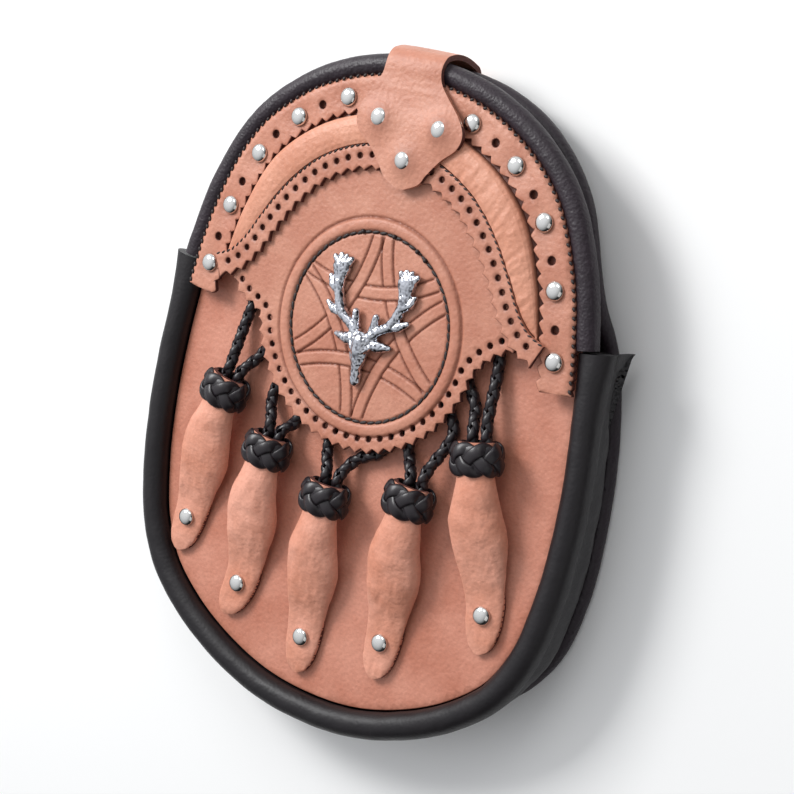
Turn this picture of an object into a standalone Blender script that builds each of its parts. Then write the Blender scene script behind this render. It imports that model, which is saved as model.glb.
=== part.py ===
"""A leather sporran pouch, lying on its back with its front up. Metres, +Z up, its top toward +Y.

Plan sizes are measured from the middle of the round medallion, heights from its face. The finished pieces
are then moved so that the back rests on z = 0 and the middle of the outline is at the origin.
"""

import math

import bmesh
import bpy
import numpy as np
from mathutils import Matrix

MM = 0.001

# Leather, clearances and teeth
TAN_LEATHER = 1.8 * MM
GUSSET_LEATHER = 1.5 * MM
GAP = 0.3 * MM
TOOTH_DEPTH = 1.7 * MM
BIG_HOLE = 2.5 * MM
SMALL_HOLE = 1.8 * MM
RIVET_RADIUS = 3.3 * MM
RIVET_HEIGHT = 1.7 * MM

# The pouch, in plan and in depth
FRONT_HALF_WIDTH = 81.5 * MM
FRONT_ABOVE = 84.0 * MM
FRONT_BELOW = 133.5 * MM
PIPING_RADIUS = 3.9 * MM
PIPING_DEPTH = 4.0 * MM
RIM_RADIUS = 5.0 * MM
RIM_DEPTH = 6.0 * MM
BACK_ROLL_RADIUS = 3.2 * MM
BACK_INSET = 10.0 * MM
BACK_DEPTH = 25.5 * MM
MOUTH_DEPTH = 18.5 * MM
BEND_START = 5.0 * MM
BEND_END = 28.0 * MM
EAR_LEFT = 6.0 * MM
EAR_RIGHT = 11.0 * MM
EAR_FLARE = 0.3
EAR_LENGTH = 26.0 * MM
PANEL_LEATHER = 1.8 * MM

# What is sewn on the front
BAND_WIDTH = 12.0 * MM
BAND_DROP = 3.0 * MM
BAND_PITCH = 4.6 * MM
RIVET_CLEAR = 0.6 * MM
RIVET_END = 9.2 * MM
RIVET_PLACES = 9
PAD_CROWN = 2.5 * MM
LEDGE = 6.0 * MM
ARCH_CLEAR = 2.0 * MM
ARCH_TOP = 57.8 * MM
BORDER_WIDTH = 7.0 * MM
BORDER_PITCH = 4.9 * MM
APRON_RADIUS = 46.5 * MM
APRON_CENTRE = 3.0 * MM
APRON_PITCH = 4.6 * MM
APRON_HOLE_INSET = 4.2 * MM
APRON_STOP = 6.0 * MM
SHOULDER_RUN = 4.0 * MM
SHOULDER_LEFT = -1.0 * MM
SHOULDER_RIGHT = 5.0 * MM

# The closing tab
TAB_LENGTH = 39.8 * MM
TAB_HALF_WIDTH = 21.0 * MM
TAB_BACK = 30.0 * MM
TAB_RIVET_SIDE = 12.0 * MM
TAB_RIVET_HIGH = 18.3 * MM
TAB_RIVET_LOW = 30.4 * MM
TAB_ASIDE = 3.8 * MM

# The stag's head
STAG_HEIGHT = 43.0 * MM
STAG_RELIEF = 3.6 * MM

# The tassels
CORD_RADIUS = 2.2 * MM
CORD_SPREAD = 2.6 * MM
KNOT_WIDTH = 20.0 * MM
KNOT_THICKNESS = 14.8 * MM
KNOT_HEIGHT = 12.0 * MM
KNOT_WALL = 2.6 * MM
HANG = 17.0 * MM
LEAF_LENGTH = 72.5 * MM
LEAF_HALF_WIDTH = 11.5 * MM
LEAF_DOME = 7.5 * MM
LEAF_LEATHER = 1.6 * MM
LEAF_RIVET = 59.0 * MM
LEAF_STEPS = 100

# The belt loops on the back
LOOP_WIDTH = 16.0 * MM
LOOP_LEATHER = 1.6 * MM
LOOP_APART = 62.0 * MM
LOOP_LOW = 30.0 * MM
LOOP_LENGTH = 42.0 * MM
LOOP_PAD = 7.0 * MM
LOOP_DROP = 5.0 * MM

# The front's outline, from the top round the right side: half width as a share of FRONT_HALF_WIDTH, height as
# a share of FRONT_ABOVE or FRONT_BELOW, and how far the back roll lies inside the rim, as a share of BACK_INSET
OUTLINE = (
    # side, height, inset
    (0.0, 1.0, 0.35),
    (0.20, 0.98, 0.30),
    (0.48, 0.88, 0.32),
    (0.72, 0.69, 0.58),
    (0.87, 0.41, 0.82),
    (0.935, 0.17, 0.60),
    (0.975, -0.07, 0.30),
    (1.0, -0.37, 0.08),
    (0.98, -0.53, 0.0),
    (0.92, -0.69, 0.05),
    (0.84, -0.78, 0.22),
    (0.70, -0.86, 0.40),
    (0.49, -0.935, 0.50),
    (0.25, -0.985, 0.50),
    (0.0, -1.0, 0.50),
)

# The middle line of the pinked border, from its top to its right end: shares of its reach and of ARCH_TOP
ARCH = (
    # side, height
    (0.0, 1.0),
    (0.22, 0.965),
    (0.44, 0.84),
    (0.60, 0.66),
    (0.725, 0.45),
    (0.81, 0.29),
    (0.90, 0.18),
    (1.0, 0.127),
)

# The tab's front, from the fold to the tip: shares of TAB_LENGTH, TAB_HALF_WIDTH, its lift and TAB_ASIDE
TAB = (
    # along, half, lift, aside
    (0.0, 0.52, 0.0, 0.0),
    (0.10, 0.56, 0.05, 0.10),
    (0.21, 0.70, 0.25, 0.40),
    (0.335, 0.89, 0.70, 0.75),
    (0.465, 1.00, 1.0, 1.0),
    (0.59, 0.93, 1.05, 1.0),
    (0.70, 0.68, 1.0, 1.05),
    (0.84, 0.45, 0.98, 1.15),
    (0.945, 0.28, 0.98, 1.25),
    (1.0, 0.06, 0.98, 1.25),
)

# One leaf, from its lip to its tip: shares of LEAF_LENGTH, LEAF_HALF_WIDTH, LEAF_DOME and of the knot's level
LEAF = (
    # along, half, dome, level
    (0.26, 0.83, 0.90, 0.80),
    (0.38, 1.00, 1.00, 0.52),
    (0.52, 0.97, 0.86, 0.30),
    (0.64, 0.80, 0.52, 0.10),
    (0.75, 0.66, 0.24, 0.0),
    (0.88, 0.64, 0.20, 0.0),
    (0.94, 0.52, 0.14, 0.0),
    (0.98, 0.32, 0.08, 0.0),
    (1.0, 0.12, 0.04, 0.0),
)

# The tassels, left to right. The knot's angle is about the apron's middle, from +X, and its hang is a share of
# HANG. Lean and bend turn the leaf, and its tip, to the right.
TASSELS = (
    # knot, hang, lean, bend
    (216.0, 1.18, -11.5, -2.0),
    (240.5, 0.97, -6.0, -15.0),
    (267.0, 1.04, -2.0, -2.0),
    (298.5, 0.95, -3.0, -4.0),
    (327.0, 0.92, 12.5, -12.0),
)

# The route of each cord's two legs, from under the apron out past its edge, in shares of APRON_RADIUS
CORD_LEGS = (
    (((-1.086, 0.043), (-1.129, -0.118)), ((-0.882, -0.355), (-0.989, -0.484))),
    (((-0.710, -0.548), (-0.785, -0.710)), ((-0.473, -0.731), (-0.548, -0.882))),
    (((-0.183, -0.774), (-0.204, -0.957)), ((0.366, -0.731), (0.247, -0.888), (0.065, -0.989))),
    (((0.462, -0.645), (0.505, -0.828)), ((0.710, -0.366), (0.824, -0.527))),
    (((0.860, -0.172), (0.963, -0.333)), ((1.054, 0.204), (1.080, 0.011))),
)

# The stag's head in shares of STAG_HEIGHT, about the medallion's middle: a stroke's start, its end, and the
# radius at each. Each is on the right, and its mirror image is made too.
STAG_STROKES = (
    # x0, y0, radius0, x1, y1, radius1
    (0.0, -0.44, 0.035, 0.0, -0.20, 0.075),
    (0.0, -0.20, 0.075, 0.03, -0.08, 0.085),
    (0.05, -0.12, 0.045, 0.24, -0.10, 0.022),
    (0.04, -0.05, 0.05, 0.13, 0.0, 0.045),
    (0.13, 0.0, 0.045, 0.27, 0.06, 0.045),
    (0.27, 0.06, 0.045, 0.31, 0.24, 0.042),
    (0.31, 0.24, 0.042, 0.30, 0.42, 0.055),
    (0.07, -0.03, 0.035, 0.08, 0.10, 0.020),
    (0.27, 0.06, 0.038, 0.39, 0.10, 0.018),
    (0.31, 0.22, 0.036, 0.42, 0.28, 0.018),
    (0.30, 0.40, 0.040, 0.21, 0.49, 0.018),
    (0.30, 0.42, 0.040, 0.29, 0.53, 0.018),
    (0.30, 0.42, 0.040, 0.38, 0.51, 0.018),
)

TAN = "D39B7B"
TAN_PALE = "DBA688"
BLACK = "2B2629"
PLAIT = "1D1A1D"
BRIGHT_METAL = "D8DADC"

# The frame: the back roll rests on z = 0, and the outline's middle is at y = 0
FACE = BACK_DEPTH + BACK_ROLL_RADIUS
TAB_BEND = PIPING_RADIUS + GAP + TAN_LEATHER / 2
TOP_REACH = FRONT_ABOVE + PIPING_RADIUS + TAB_BEND + TAN_LEATHER / 2
BOTTOM_REACH = FRONT_BELOW + 2 * RIM_RADIUS
SHIFT_Y = (BOTTOM_REACH - TOP_REACH) / 2

# Heights from the medallion's face
APRON_UNDER = -TAN_LEATHER
PANEL_TOP = APRON_UNDER - 2 * GAP - 2 * CORD_RADIUS
PANEL_UNDER = PANEL_TOP - PANEL_LEATHER
YOKE_LEDGE = APRON_UNDER - GAP
YOKE_UNDER = PANEL_TOP + GAP
BORDER_UNDER = GAP
BORDER_TOP = BORDER_UNDER + TAN_LEATHER
CORD_LEVEL = (APRON_UNDER + PANEL_TOP) / 2
KNOT_LEVEL = PANEL_TOP + GAP + KNOT_THICKNESS / 2


def smooth(rows, count, closed=False):
    """count points, evenly spaced in plan, on a smooth curve through the rows."""
    rows = np.array(rows, float)
    if closed:
        ring = np.vstack([rows[-1], rows, rows[0], rows[1]])
    else:
        ring = np.vstack([2 * rows[0] - rows[1], rows, 2 * rows[-1] - rows[-2]])
    spans = np.linalg.norm(np.diff(ring[:, :2], axis=0), axis=1)
    dense = []
    for i in range(1, len(ring) - 2):
        before, here, after, beyond = ring[i - 1 : i + 3]
        a, b, c = spans[i - 1 : i + 2]
        leaving = ((here - before) / a - (after - before) / (a + b) + (after - here) / b) * b
        arriving = ((after - here) / b - (beyond - here) / (b + c) + (beyond - after) / c) * b
        for t in np.linspace(0, 1, 24, endpoint=False):
            dense.append(
                (2 * t**3 - 3 * t**2 + 1) * here
                + (t**3 - 2 * t**2 + t) * leaving
                + (3 * t**2 - 2 * t**3) * after
                + (t**3 - t**2) * arriving
            )
    dense.append(ring[-2])
    return evenly(np.array(dense), count, closed)


def evenly(points, count, closed=False):
    """The same line through count evenly spaced points. A closed line leaves out the repeated last one."""
    walked = np.concatenate([[0], np.cumsum(np.linalg.norm(np.diff(points[:, :2], axis=0), axis=1))])
    stops = np.linspace(0, walked[-1], count, endpoint=not closed)
    return np.stack([np.interp(stops, walked, column) for column in points.T], axis=1)


def length_of(points):
    return float(np.linalg.norm(np.diff(points[:, :2], axis=0), axis=1).sum())


def normals(points, closed=False):
    """Unit normals in plan, to the left of the way the points run."""
    if closed:
        along = np.roll(points, -1, axis=0)[:, :2] - np.roll(points, 1, axis=0)[:, :2]
    else:
        along = np.gradient(points[:, :2], axis=0)
    along /= np.linalg.norm(along, axis=1)[:, None]
    return np.stack([-along[:, 1], along[:, 0]], axis=1)


def offset(points, distance, closed=False):
    """The line moved sideways, outward on the front's outline and on the arch."""
    moved = points.copy()
    moved[:, :2] += normals(points, closed) * np.reshape(distance, (-1, 1))
    return moved


def mirrored(rows):
    """Rows that run from the middle to the right, made to run from the left end to the right end."""
    rows = np.array(rows, float)
    left = rows[:0:-1].copy()
    left[:, 0] *= -1
    return np.vstack([left, rows])


def front_outline(count):
    """The tan front's edge as x, y and back inset, clockwise from the bottom."""
    right = [
        (side * FRONT_HALF_WIDTH, height * (FRONT_ABOVE if height > 0 else FRONT_BELOW), inset * BACK_INSET)
        for side, height, inset in OUTLINE
    ]
    return smooth(mirrored(right)[:-1], count, closed=True)


def upper_outline(lowest, count):
    """The outline's stretch above a height, or above one on each side, from left to right."""
    ring = front_outline(720)
    left, right = np.broadcast_to(lowest, 2)
    return evenly(ring[ring[:, 1] >= np.where(ring[:, 0] < 0, left, right)], count)


def lower_outline(highest, count):
    """The outline's stretch below a height on each side, from right to left."""
    ring = front_outline(720)
    ring = np.roll(ring, len(ring) // 2, axis=0)
    left, right = highest
    return evenly(ring[ring[:, 1] <= np.where(ring[:, 0] < 0, left, right)], count)


def arch_reach():
    """How far the pinked border runs to each side: it stops beside the lowest rivets."""
    return max(x for _, x, _ in band_places()) - RIVET_RADIUS - ARCH_CLEAR


def arch_line(count):
    """The middle line of the pinked border, from left to right."""
    reach = arch_reach()
    return smooth(mirrored([(side * reach, height * ARCH_TOP) for side, height in ARCH]), count)


def back_level(y):
    """The middle of the back leather and its roll, from the face: bent forward at the mouth."""
    share = min(max((y - BEND_START) / (BEND_END - BEND_START), 0.0), 1.0)
    return -BACK_DEPTH + (BACK_DEPTH - MOUTH_DEPTH) * share * share * (3 - 2 * share)


def back_roll_line(ring):
    """Where the middle of the back roll runs beside each point of the outline."""
    return offset(ring, 2 * RIM_RADIUS - BACK_ROLL_RADIUS - ring[:, 2], closed=True)


def linear(hex_colour):
    """A screen colour as the linear values that a material takes."""
    parts = [int(hex_colour[i : i + 2], 16) / 255 for i in (0, 2, 4)]
    return [c / 12.92 if c <= 0.04045 else ((c + 0.055) / 1.055) ** 2.4 for c in parts] + [1.0]


def finish(obj, colour, roughness, metallic=0.0):
    """Moves a piece into the part's frame and gives it its own material."""
    made = bpy.data.materials.new(f"{obj.name}_finish")
    made.use_nodes = True
    shader = made.node_tree.nodes["Principled BSDF"]
    shader.inputs["Base Color"].default_value = linear(colour)
    shader.inputs["Roughness"].default_value = roughness
    shader.inputs["Metallic"].default_value = metallic
    obj.data.materials.append(made)
    obj.location.y += SHIFT_Y
    obj.location.z += FACE
    return obj


def from_bmesh(name, bm):
    bmesh.ops.recalc_face_normals(bm, faces=bm.faces)
    mesh = bpy.data.meshes.new(name)
    bm.to_mesh(mesh)
    bm.free()
    mesh.shade_smooth()
    mesh.set_sharp_from_angle(angle=math.radians(40))
    obj = bpy.data.objects.new(name, mesh)
    bpy.context.scene.collection.objects.link(obj)
    return obj


def loft(name, sections, closed=False):
    """One body through sections of equally many points. An open loft gets an end face at both ends."""
    bm = bmesh.new()
    rings = [[bm.verts.new(tuple(p)) for p in section] for section in sections]
    pairs = list(zip(rings, rings[1:]))
    if closed:
        pairs.append((rings[-1], rings[0]))
    for one, two in pairs:
        for i in range(len(one)):
            j = (i + 1) % len(one)
            bm.faces.new((one[i], one[j], two[j], two[i]))
    if not closed:
        bm.faces.new(rings[0])
        bm.faces.new(rings[-1])
    return from_bmesh(name, bm)


def plate(name, outline, holes, under, thickness):
    """A flat leather: an outline in plan with holes cut through it."""
    curve = bpy.data.curves.new(name, "CURVE")
    curve.dimensions = "2D"
    curve.fill_mode = "BOTH"
    curve.extrude = thickness / 2
    for ring in [outline, *holes]:
        spline = curve.splines.new("POLY")
        spline.points.add(len(ring) - 1)
        for point, (x, y) in zip(spline.points, np.array(ring)[:, :2]):
            point.co = (x, y, 0, 1)
        spline.use_cyclic_u = True
    obj = bpy.data.objects.new(name, curve)
    obj.location.z = under + thickness / 2
    bpy.context.scene.collection.objects.link(obj)
    return obj


def tube(name, points, radius, sides_quarter=2, closed=False):
    """A round roll or cord through points in space."""
    curve = bpy.data.curves.new(name, "CURVE")
    curve.dimensions = "3D"
    curve.bevel_depth = radius
    curve.bevel_resolution = sides_quarter
    curve.use_fill_caps = not closed
    spline = curve.splines.new("POLY")
    spline.points.add(len(points) - 1)
    for point, (x, y, z) in zip(spline.points, points):
        point.co = (x, y, z, 1)
    spline.use_cyclic_u = closed
    obj = bpy.data.objects.new(name, curve)
    bpy.context.scene.collection.objects.link(obj)
    return obj


def punched(centre, diameter, sides=6):
    """One punched hole, as the ring of points that a plate is cut by."""
    turns = np.arange(sides) * 2 * math.pi / sides
    return np.stack([centre[0] + np.cos(turns) * diameter / 2, centre[1] + np.sin(turns) * diameter / 2], axis=1)


def pinked(line, pitch, depth):
    """A toothed edge along a line: points at the line, and roots between them, depth to its right."""
    teeth = max(2, round(length_of(line) / pitch))
    edge = evenly(line, 2 * teeth + 1)
    return offset(edge, [0.0 if i % 2 else -depth for i in range(len(edge))])


def rivet(name, x, y, level):
    """A domed rivet head that sits just above a surface at a height."""
    bm = bmesh.new()
    profile = [
        bm.verts.new((RIVET_RADIUS * math.cos(a), 0, RIVET_HEIGHT * math.sin(a)))
        for a in (0.0, 0.7, math.pi / 2)
    ]
    edges = [bm.edges.new(pair) for pair in zip(profile, profile[1:])]
    bmesh.ops.spin(bm, geom=profile + edges, angle=2 * math.pi, steps=10, axis=(0, 0, 1), cent=(0, 0, 0))
    bmesh.ops.remove_doubles(bm, verts=bm.verts, dist=0.01 * MM)
    bmesh.ops.holes_fill(bm, edges=[e for e in bm.edges if e.is_boundary], sides=0)
    obj = from_bmesh(name, bm)
    obj.location = (x, y, level + GAP)
    return finish(obj, BRIGHT_METAL, 0.12, 1.0)


def front_panel():
    """The flat front leather."""
    edge = offset(front_outline(56), -GAP, closed=True)
    finish(plate("front_panel", edge, [], PANEL_UNDER, PANEL_LEATHER), TAN, 0.55)


def front_piping():
    """The roll round the upper edge, from ear to ear."""
    middle = offset(upper_outline((EAR_LEFT + GAP, EAR_RIGHT + GAP), 28), PIPING_RADIUS)
    finish(tube("front_piping", [(x, y, -PIPING_DEPTH) for x, y, _ in middle], PIPING_RADIUS), BLACK, 0.5)


def gusset():
    """The side wall: a wrapped rim along the front, and a wall back to the back roll, flared at the ears."""
    ring = lower_outline((EAR_LEFT, EAR_RIGHT), 34)
    outward = normals(ring)
    walked = np.linspace(0, length_of(ring), len(ring))
    wall_start = math.radians(-30)
    wall_back = math.radians(-60)
    turns = np.linspace(wall_back, wall_start - 2 * math.pi, 10)
    sections = []
    for (x, y, inset), (nx, ny), at in zip(ring, outward, walked):
        from_end = min(at, walked[-1] - at)
        ear = max(0.0, 1 - from_end / EAR_LENGTH) ** 2
        over_roll = 2 * RIM_RADIUS - BACK_ROLL_RADIUS - inset
        flared = 2 * RIM_RADIUS - GUSSET_LEATHER
        foot = over_roll + (flared - over_roll) * ear
        foot_level = back_level(y) + BACK_ROLL_RADIUS + GAP
        section = [
            (RIM_RADIUS + RIM_RADIUS * math.cos(a), -RIM_DEPTH + RIM_RADIUS * math.sin(a)) for a in turns
        ]
        section += [(foot + GUSSET_LEATHER / 2, foot_level), (foot - GUSSET_LEATHER / 2, foot_level)]
        wider = 1 + EAR_FLARE * ear
        sections.append([(x + nx * n * wider, y + ny * n * wider, z) for n, z in section])
    finish(loft("gusset", sections), BLACK, 0.5)


def back_panel():
    """The back leather inside its roll, flat where the pouch lies and bent forward at the mouth."""
    edge = offset(back_roll_line(front_outline(56)), -BACK_ROLL_RADIUS - GAP, closed=True)
    half = len(edge) // 2
    sections = []
    for i in range(1, half):
        (x, y, _), (x_left, _, _) = edge[-i], edge[i]
        top = back_level(y) + PANEL_LEATHER / 2
        under = back_level(y) - PANEL_LEATHER / 2
        sections.append([(x_left, y, under), (x, y, under), (x, y, top), (x_left, y, top)])
    finish(loft("back_panel", sections), BLACK, 0.55)


def back_piping():
    """The roll all round the back."""
    middle = back_roll_line(front_outline(56))
    points = [(x, y, back_level(y)) for x, y, _ in middle]
    finish(tube("back_piping", points, BACK_ROLL_RADIUS, closed=True), BLACK, 0.5)


def belt_loops():
    """Two straps sewn to the bent part of the back, which the belt passes through."""
    under_panel = -MOUTH_DEPTH - PANEL_LEATHER / 2 - GAP
    rise = LOOP_DROP
    rows = (
        # along the strap, and below the pad
        (0.0, 0.0),
        (LOOP_PAD, 0.0),
        (LOOP_PAD + rise / 2, rise / 2),
        (LOOP_PAD + rise, rise),
        (LOOP_LENGTH - LOOP_PAD - rise, rise),
        (LOOP_LENGTH - LOOP_PAD - rise / 2, rise / 2),
        (LOOP_LENGTH - LOOP_PAD, 0.0),
        (LOOP_LENGTH, 0.0),
    )
    for name, side in (("belt_loop_left", -1), ("belt_loop_right", 1)):
        left = side * LOOP_APART / 2 - LOOP_WIDTH / 2
        right = left + LOOP_WIDTH
        sections = []
        for along, below in rows:
            y = LOOP_LOW + along
            top = under_panel - below
            under = top - LOOP_LEATHER
            sections.append([(left, y, under), (right, y, under), (right, y, top), (left, y, top)])
        finish(loft(name, sections), BLACK, 0.5)


def yoke():
    """The padded crescent: a ledge under the outer band, the pad, and a ledge that carries the apron."""
    count = 31
    outer = offset(upper_outline(ARCH[-1][1] * ARCH_TOP + BORDER_WIDTH / 2, count), -GAP)
    inner = evenly(offset(arch_line(180), BORDER_WIDTH / 2 + GAP), count)
    tail = upper_outline(-BAND_DROP, 720)
    tail = tail[tail[:, 1] < outer[0][1] - BAND_DROP]
    tail_left = evenly(offset(tail[tail[:, 0] < 0], -GAP), 3)
    tail_right = evenly(offset(tail[tail[:, 0] > 0], -GAP), 3)
    least = BAND_WIDTH + 2 * GAP
    stations = [(p, p + np.array([least, 0, 0]), 1.0, 0.0) for p in tail_left]
    for i, (nx, ny) in enumerate(normals(outer)):
        way = inner[i][:2] - outer[i][:2]
        slant = -float(way @ (nx, ny)) / float(np.linalg.norm(way))
        stations.append((outer[i], inner[i], slant, min(1.0, min(i, count - 1 - i) / 4)))
    stations += [(p, p - np.array([least, 0, 0]), 1.0, 0.0) for p in tail_right]
    sections = []
    for start, end, slant, ledge in stations:
        way = (end[:2] - start[:2]) / np.linalg.norm(end[:2] - start[:2])
        under_band = BAND_WIDTH / slant
        reach = max(float(np.linalg.norm(end[:2] - start[:2])), under_band + 2 * GAP)
        pad = reach - under_band
        crown = PAD_CROWN * min(1.0, pad / BAND_WIDTH)
        inside = reach + GAP + LEDGE * ledge
        section = (
            (0.0, YOKE_LEDGE),
            (under_band, YOKE_LEDGE),
            (under_band + pad * 0.25, crown * 0.7),
            (under_band + pad * 0.55, crown),
            (under_band + pad * 0.85, crown * 0.75),
            (reach, crown * 0.4),
            (reach, YOKE_LEDGE),
            (inside, YOKE_LEDGE),
            (inside, YOKE_UNDER),
            (0.0, YOKE_UNDER),
        )
        sections.append([(start[0] + way[0] * d, start[1] + way[1] * d, z) for d, z in section])
    finish(loft("yoke", sections), TAN, 0.55)


def band_places():
    """Where rivets and punched holes take turns along the outer band, from each end to beside the tab."""
    middle = offset(upper_outline(-BAND_DROP, 720), -BAND_WIDTH / 2)
    walked = np.linspace(0, length_of(middle), len(middle))
    beside_tab = np.interp(-TAB_HALF_WIDTH - RIVET_CLEAR - RIVET_RADIUS, middle[:, 0], walked)
    places = []
    for k, at in enumerate(np.linspace(RIVET_END, beside_tab, RIVET_PLACES)):
        for stop in (at, walked[-1] - at):
            places.append((k, np.interp(stop, walked, middle[:, 0]), np.interp(stop, walked, middle[:, 1])))
    return places


def outer_band():
    """The strip along the upper edge, pinked on its inner side, with its rivets."""
    outer = offset(upper_outline(-BAND_DROP, 36), -GAP)
    inner = pinked(offset(upper_outline(-BAND_DROP, 240), -BAND_WIDTH)[::-1], BAND_PITCH, TOOTH_DEPTH)
    holes = [punched((x, y), BIG_HOLE) for k, x, y in band_places() if k % 2]
    band = plate("outer_band", np.vstack([outer[:, :2], inner[:, :2]]), holes, APRON_UNDER, TAN_LEATHER)
    finish(band, TAN_PALE, 0.5)
    riveted = [(x, y) for k, x, y in band_places() if not k % 2]
    for number, (x, y) in enumerate(sorted(riveted), 1):
        rivet(f"band_rivet_{number}", x, y, 0.0)


def inner_band():
    """The crescent's pinked border, with a hole in each tooth."""
    line = arch_line(240)
    outer = evenly(offset(line, BORDER_WIDTH / 2), 36)
    inner = pinked(offset(line, -BORDER_WIDTH / 2)[::-1], BORDER_PITCH, -TOOTH_DEPTH)
    holes = evenly(line, round(length_of(line) / BORDER_PITCH) + 1)[1:-1]
    cuts = [punched(hole, SMALL_HOLE) for hole in holes]
    band = plate("inner_band", np.vstack([outer, inner]), cuts, BORDER_UNDER, TAN_LEATHER)
    finish(band, TAN_PALE, 0.5)


def apron_arch(sideways):
    """The border's line moved sideways, without its ends, which the apron stops short of."""
    line = offset(arch_line(240), sideways)
    return line[abs(line[:, 0]) <= arch_reach() - APRON_STOP]


def apron_edge(inset=0.0):
    """The apron's lower edge from right to left: two shoulders and the round between them."""
    ends = apron_arch(-BORDER_WIDTH / 2 + GAP)
    radius = APRON_RADIUS - inset
    turns = np.radians(np.linspace(-12, -168, 27))
    round_part = [(radius * math.cos(a), APRON_CENTRE + radius * math.sin(a)) for a in turns]
    rows = [
        (ends[-1][0], ends[-1][1] + inset),
        (ends[-1][0] - SHOULDER_RUN, SHOULDER_RIGHT + inset),
        *round_part,
        (ends[0][0] + SHOULDER_RUN, SHOULDER_LEFT + inset),
        (ends[0][0], ends[0][1] + inset),
    ]
    return smooth(rows, 300)


def apron():
    """The medallion's leather, under the border at its top and toothed along its lower edge."""
    top = evenly(apron_arch(BORDER_WIDTH / 2 - 2 * GAP), 30)
    lower = pinked(apron_edge(), APRON_PITCH, -TOOTH_DEPTH)[1:-1]
    row = apron_edge(APRON_HOLE_INSET)
    holes = evenly(row, round(length_of(row) / APRON_PITCH) + 1)[2:-2]
    cuts = [punched(hole, SMALL_HOLE) for hole in holes]
    finish(plate("apron", np.vstack([top, lower]), cuts, APRON_UNDER, TAN_LEATHER), TAN, 0.5)


def stag_head():
    """The cast head and antlers: tapered strokes joined and cut flat at the back."""
    bm = bmesh.new()
    for x0, y0, r0, x1, y1, r1 in STAG_STROKES:
        for side in (-1, 1) if x0 or x1 else (1,):
            start = np.array([side * x0, y0]) * STAG_HEIGHT
            end = np.array([side * x1, y1]) * STAG_HEIGHT
            run = float(np.linalg.norm(end - start))
            turn = math.atan2(end[1] - start[1], end[0] - start[0])
            stroke = bmesh.ops.create_cone(
                bm,
                cap_ends=True,
                segments=6,
                radius1=r0 * STAG_HEIGHT,
                radius2=r1 * STAG_HEIGHT,
                depth=run * 1.12,
            )["verts"]
            bmesh.ops.rotate(bm, verts=stroke, matrix=Matrix.Rotation(math.pi / 2, 3, "Y"))
            bmesh.ops.rotate(bm, verts=stroke, matrix=Matrix.Rotation(turn, 3, "Z"))
            middle = (start + end) / 2
            bmesh.ops.translate(bm, verts=stroke, vec=(middle[0], middle[1], GAP + STAG_RELIEF * 0.25))
    head = from_bmesh("stag_head", bm)
    block = bmesh.new()
    bmesh.ops.create_cube(block, size=2 * STAG_HEIGHT)
    bmesh.ops.translate(block, verts=block.verts, vec=(0, 0, GAP + STAG_HEIGHT))
    cutter = from_bmesh("stag_cutter", block)
    cutter.location.y += SHIFT_Y
    cutter.location.z += FACE
    cutter.hide_render = True
    cutter.display_type = "WIRE"
    cut = head.modifiers.new("flat back", "BOOLEAN")
    cut.operation = "INTERSECT"
    cut.use_self = True
    cut.object = cutter
    finish(head, BRIGHT_METAL, 0.15, 1.0)


def tab_rows():
    """The tab's middle line as y, height, half width and how far it lies aside, from front tip to back."""
    fold = FRONT_ABOVE + PIPING_RADIUS
    lift = max(PAD_CROWN, BORDER_TOP)
    low = GAP + TAN_LEATHER / 2
    rows = []
    for along, half, share, aside in reversed(TAB):
        rows.append(
            (fold - along * TAB_LENGTH, low + share * lift, half * TAB_HALF_WIDTH, aside * TAB_ASIDE)
        )
    width = TAB[0][1] * TAB_HALF_WIDTH
    for a in np.radians((65, 35, 5)):
        rows.append((fold + TAB_BEND * math.cos(a), -PIPING_DEPTH + TAB_BEND * math.sin(a), width, 0.0))
    ring = front_outline(720)
    top = back_roll_line(ring)[:, 1].max()
    bend = BACK_ROLL_RADIUS + GAP + TAN_LEATHER / 2
    for a in np.radians((-5, -35, -65, -95)):
        rows.append((top + bend * math.cos(a), -MOUTH_DEPTH + bend * math.sin(a), width, 0.0))
    flat = -MOUTH_DEPTH - PANEL_LEATHER / 2 - GAP - TAN_LEATHER / 2
    past_roll = top - 2 * BACK_ROLL_RADIUS
    for share, narrow in ((0.0, 1.0), (0.5, 1.0), (0.85, 0.9), (1.0, 0.5)):
        rows.append((past_roll - share * TAB_BACK, flat, width * narrow, 0.0))
    return rows


def closing_tab():
    """The tab: its toe on the front, its fold over the mouth, its end on the back, and three rivets."""
    rows = np.array(tab_rows())
    along = np.gradient(rows[:, :2], axis=0)
    along /= np.linalg.norm(along, axis=1)[:, None]
    sections = []
    for (y, z, half, aside), (ay, az) in zip(rows, along):
        dy, dz = -az * TAN_LEATHER / 2, ay * TAN_LEATHER / 2
        left, right = aside - half, aside + half
        sections.append(
            [(left, y - dy, z - dz), (right, y - dy, z - dz), (right, y + dy, z + dz), (left, y + dy, z + dz)]
        )
    finish(loft("closing_tab", sections), TAN, 0.5)
    front = rows[: len(TAB)]
    places = (
        (-TAB_RIVET_SIDE, TAB_RIVET_HIGH),
        (TAB_RIVET_SIDE, TAB_RIVET_HIGH),
        (0.0, TAB_RIVET_LOW),
    )
    for number, (x, along_tab) in enumerate(places, 1):
        y = FRONT_ABOVE + PIPING_RADIUS - along_tab
        level = float(np.interp(y, front[:, 0], front[:, 1])) + TAN_LEATHER / 2
        aside = float(np.interp(y, front[:, 0], front[:, 3]))
        rivet(f"tab_rivet_{number}", x + aside, y, level)


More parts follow.
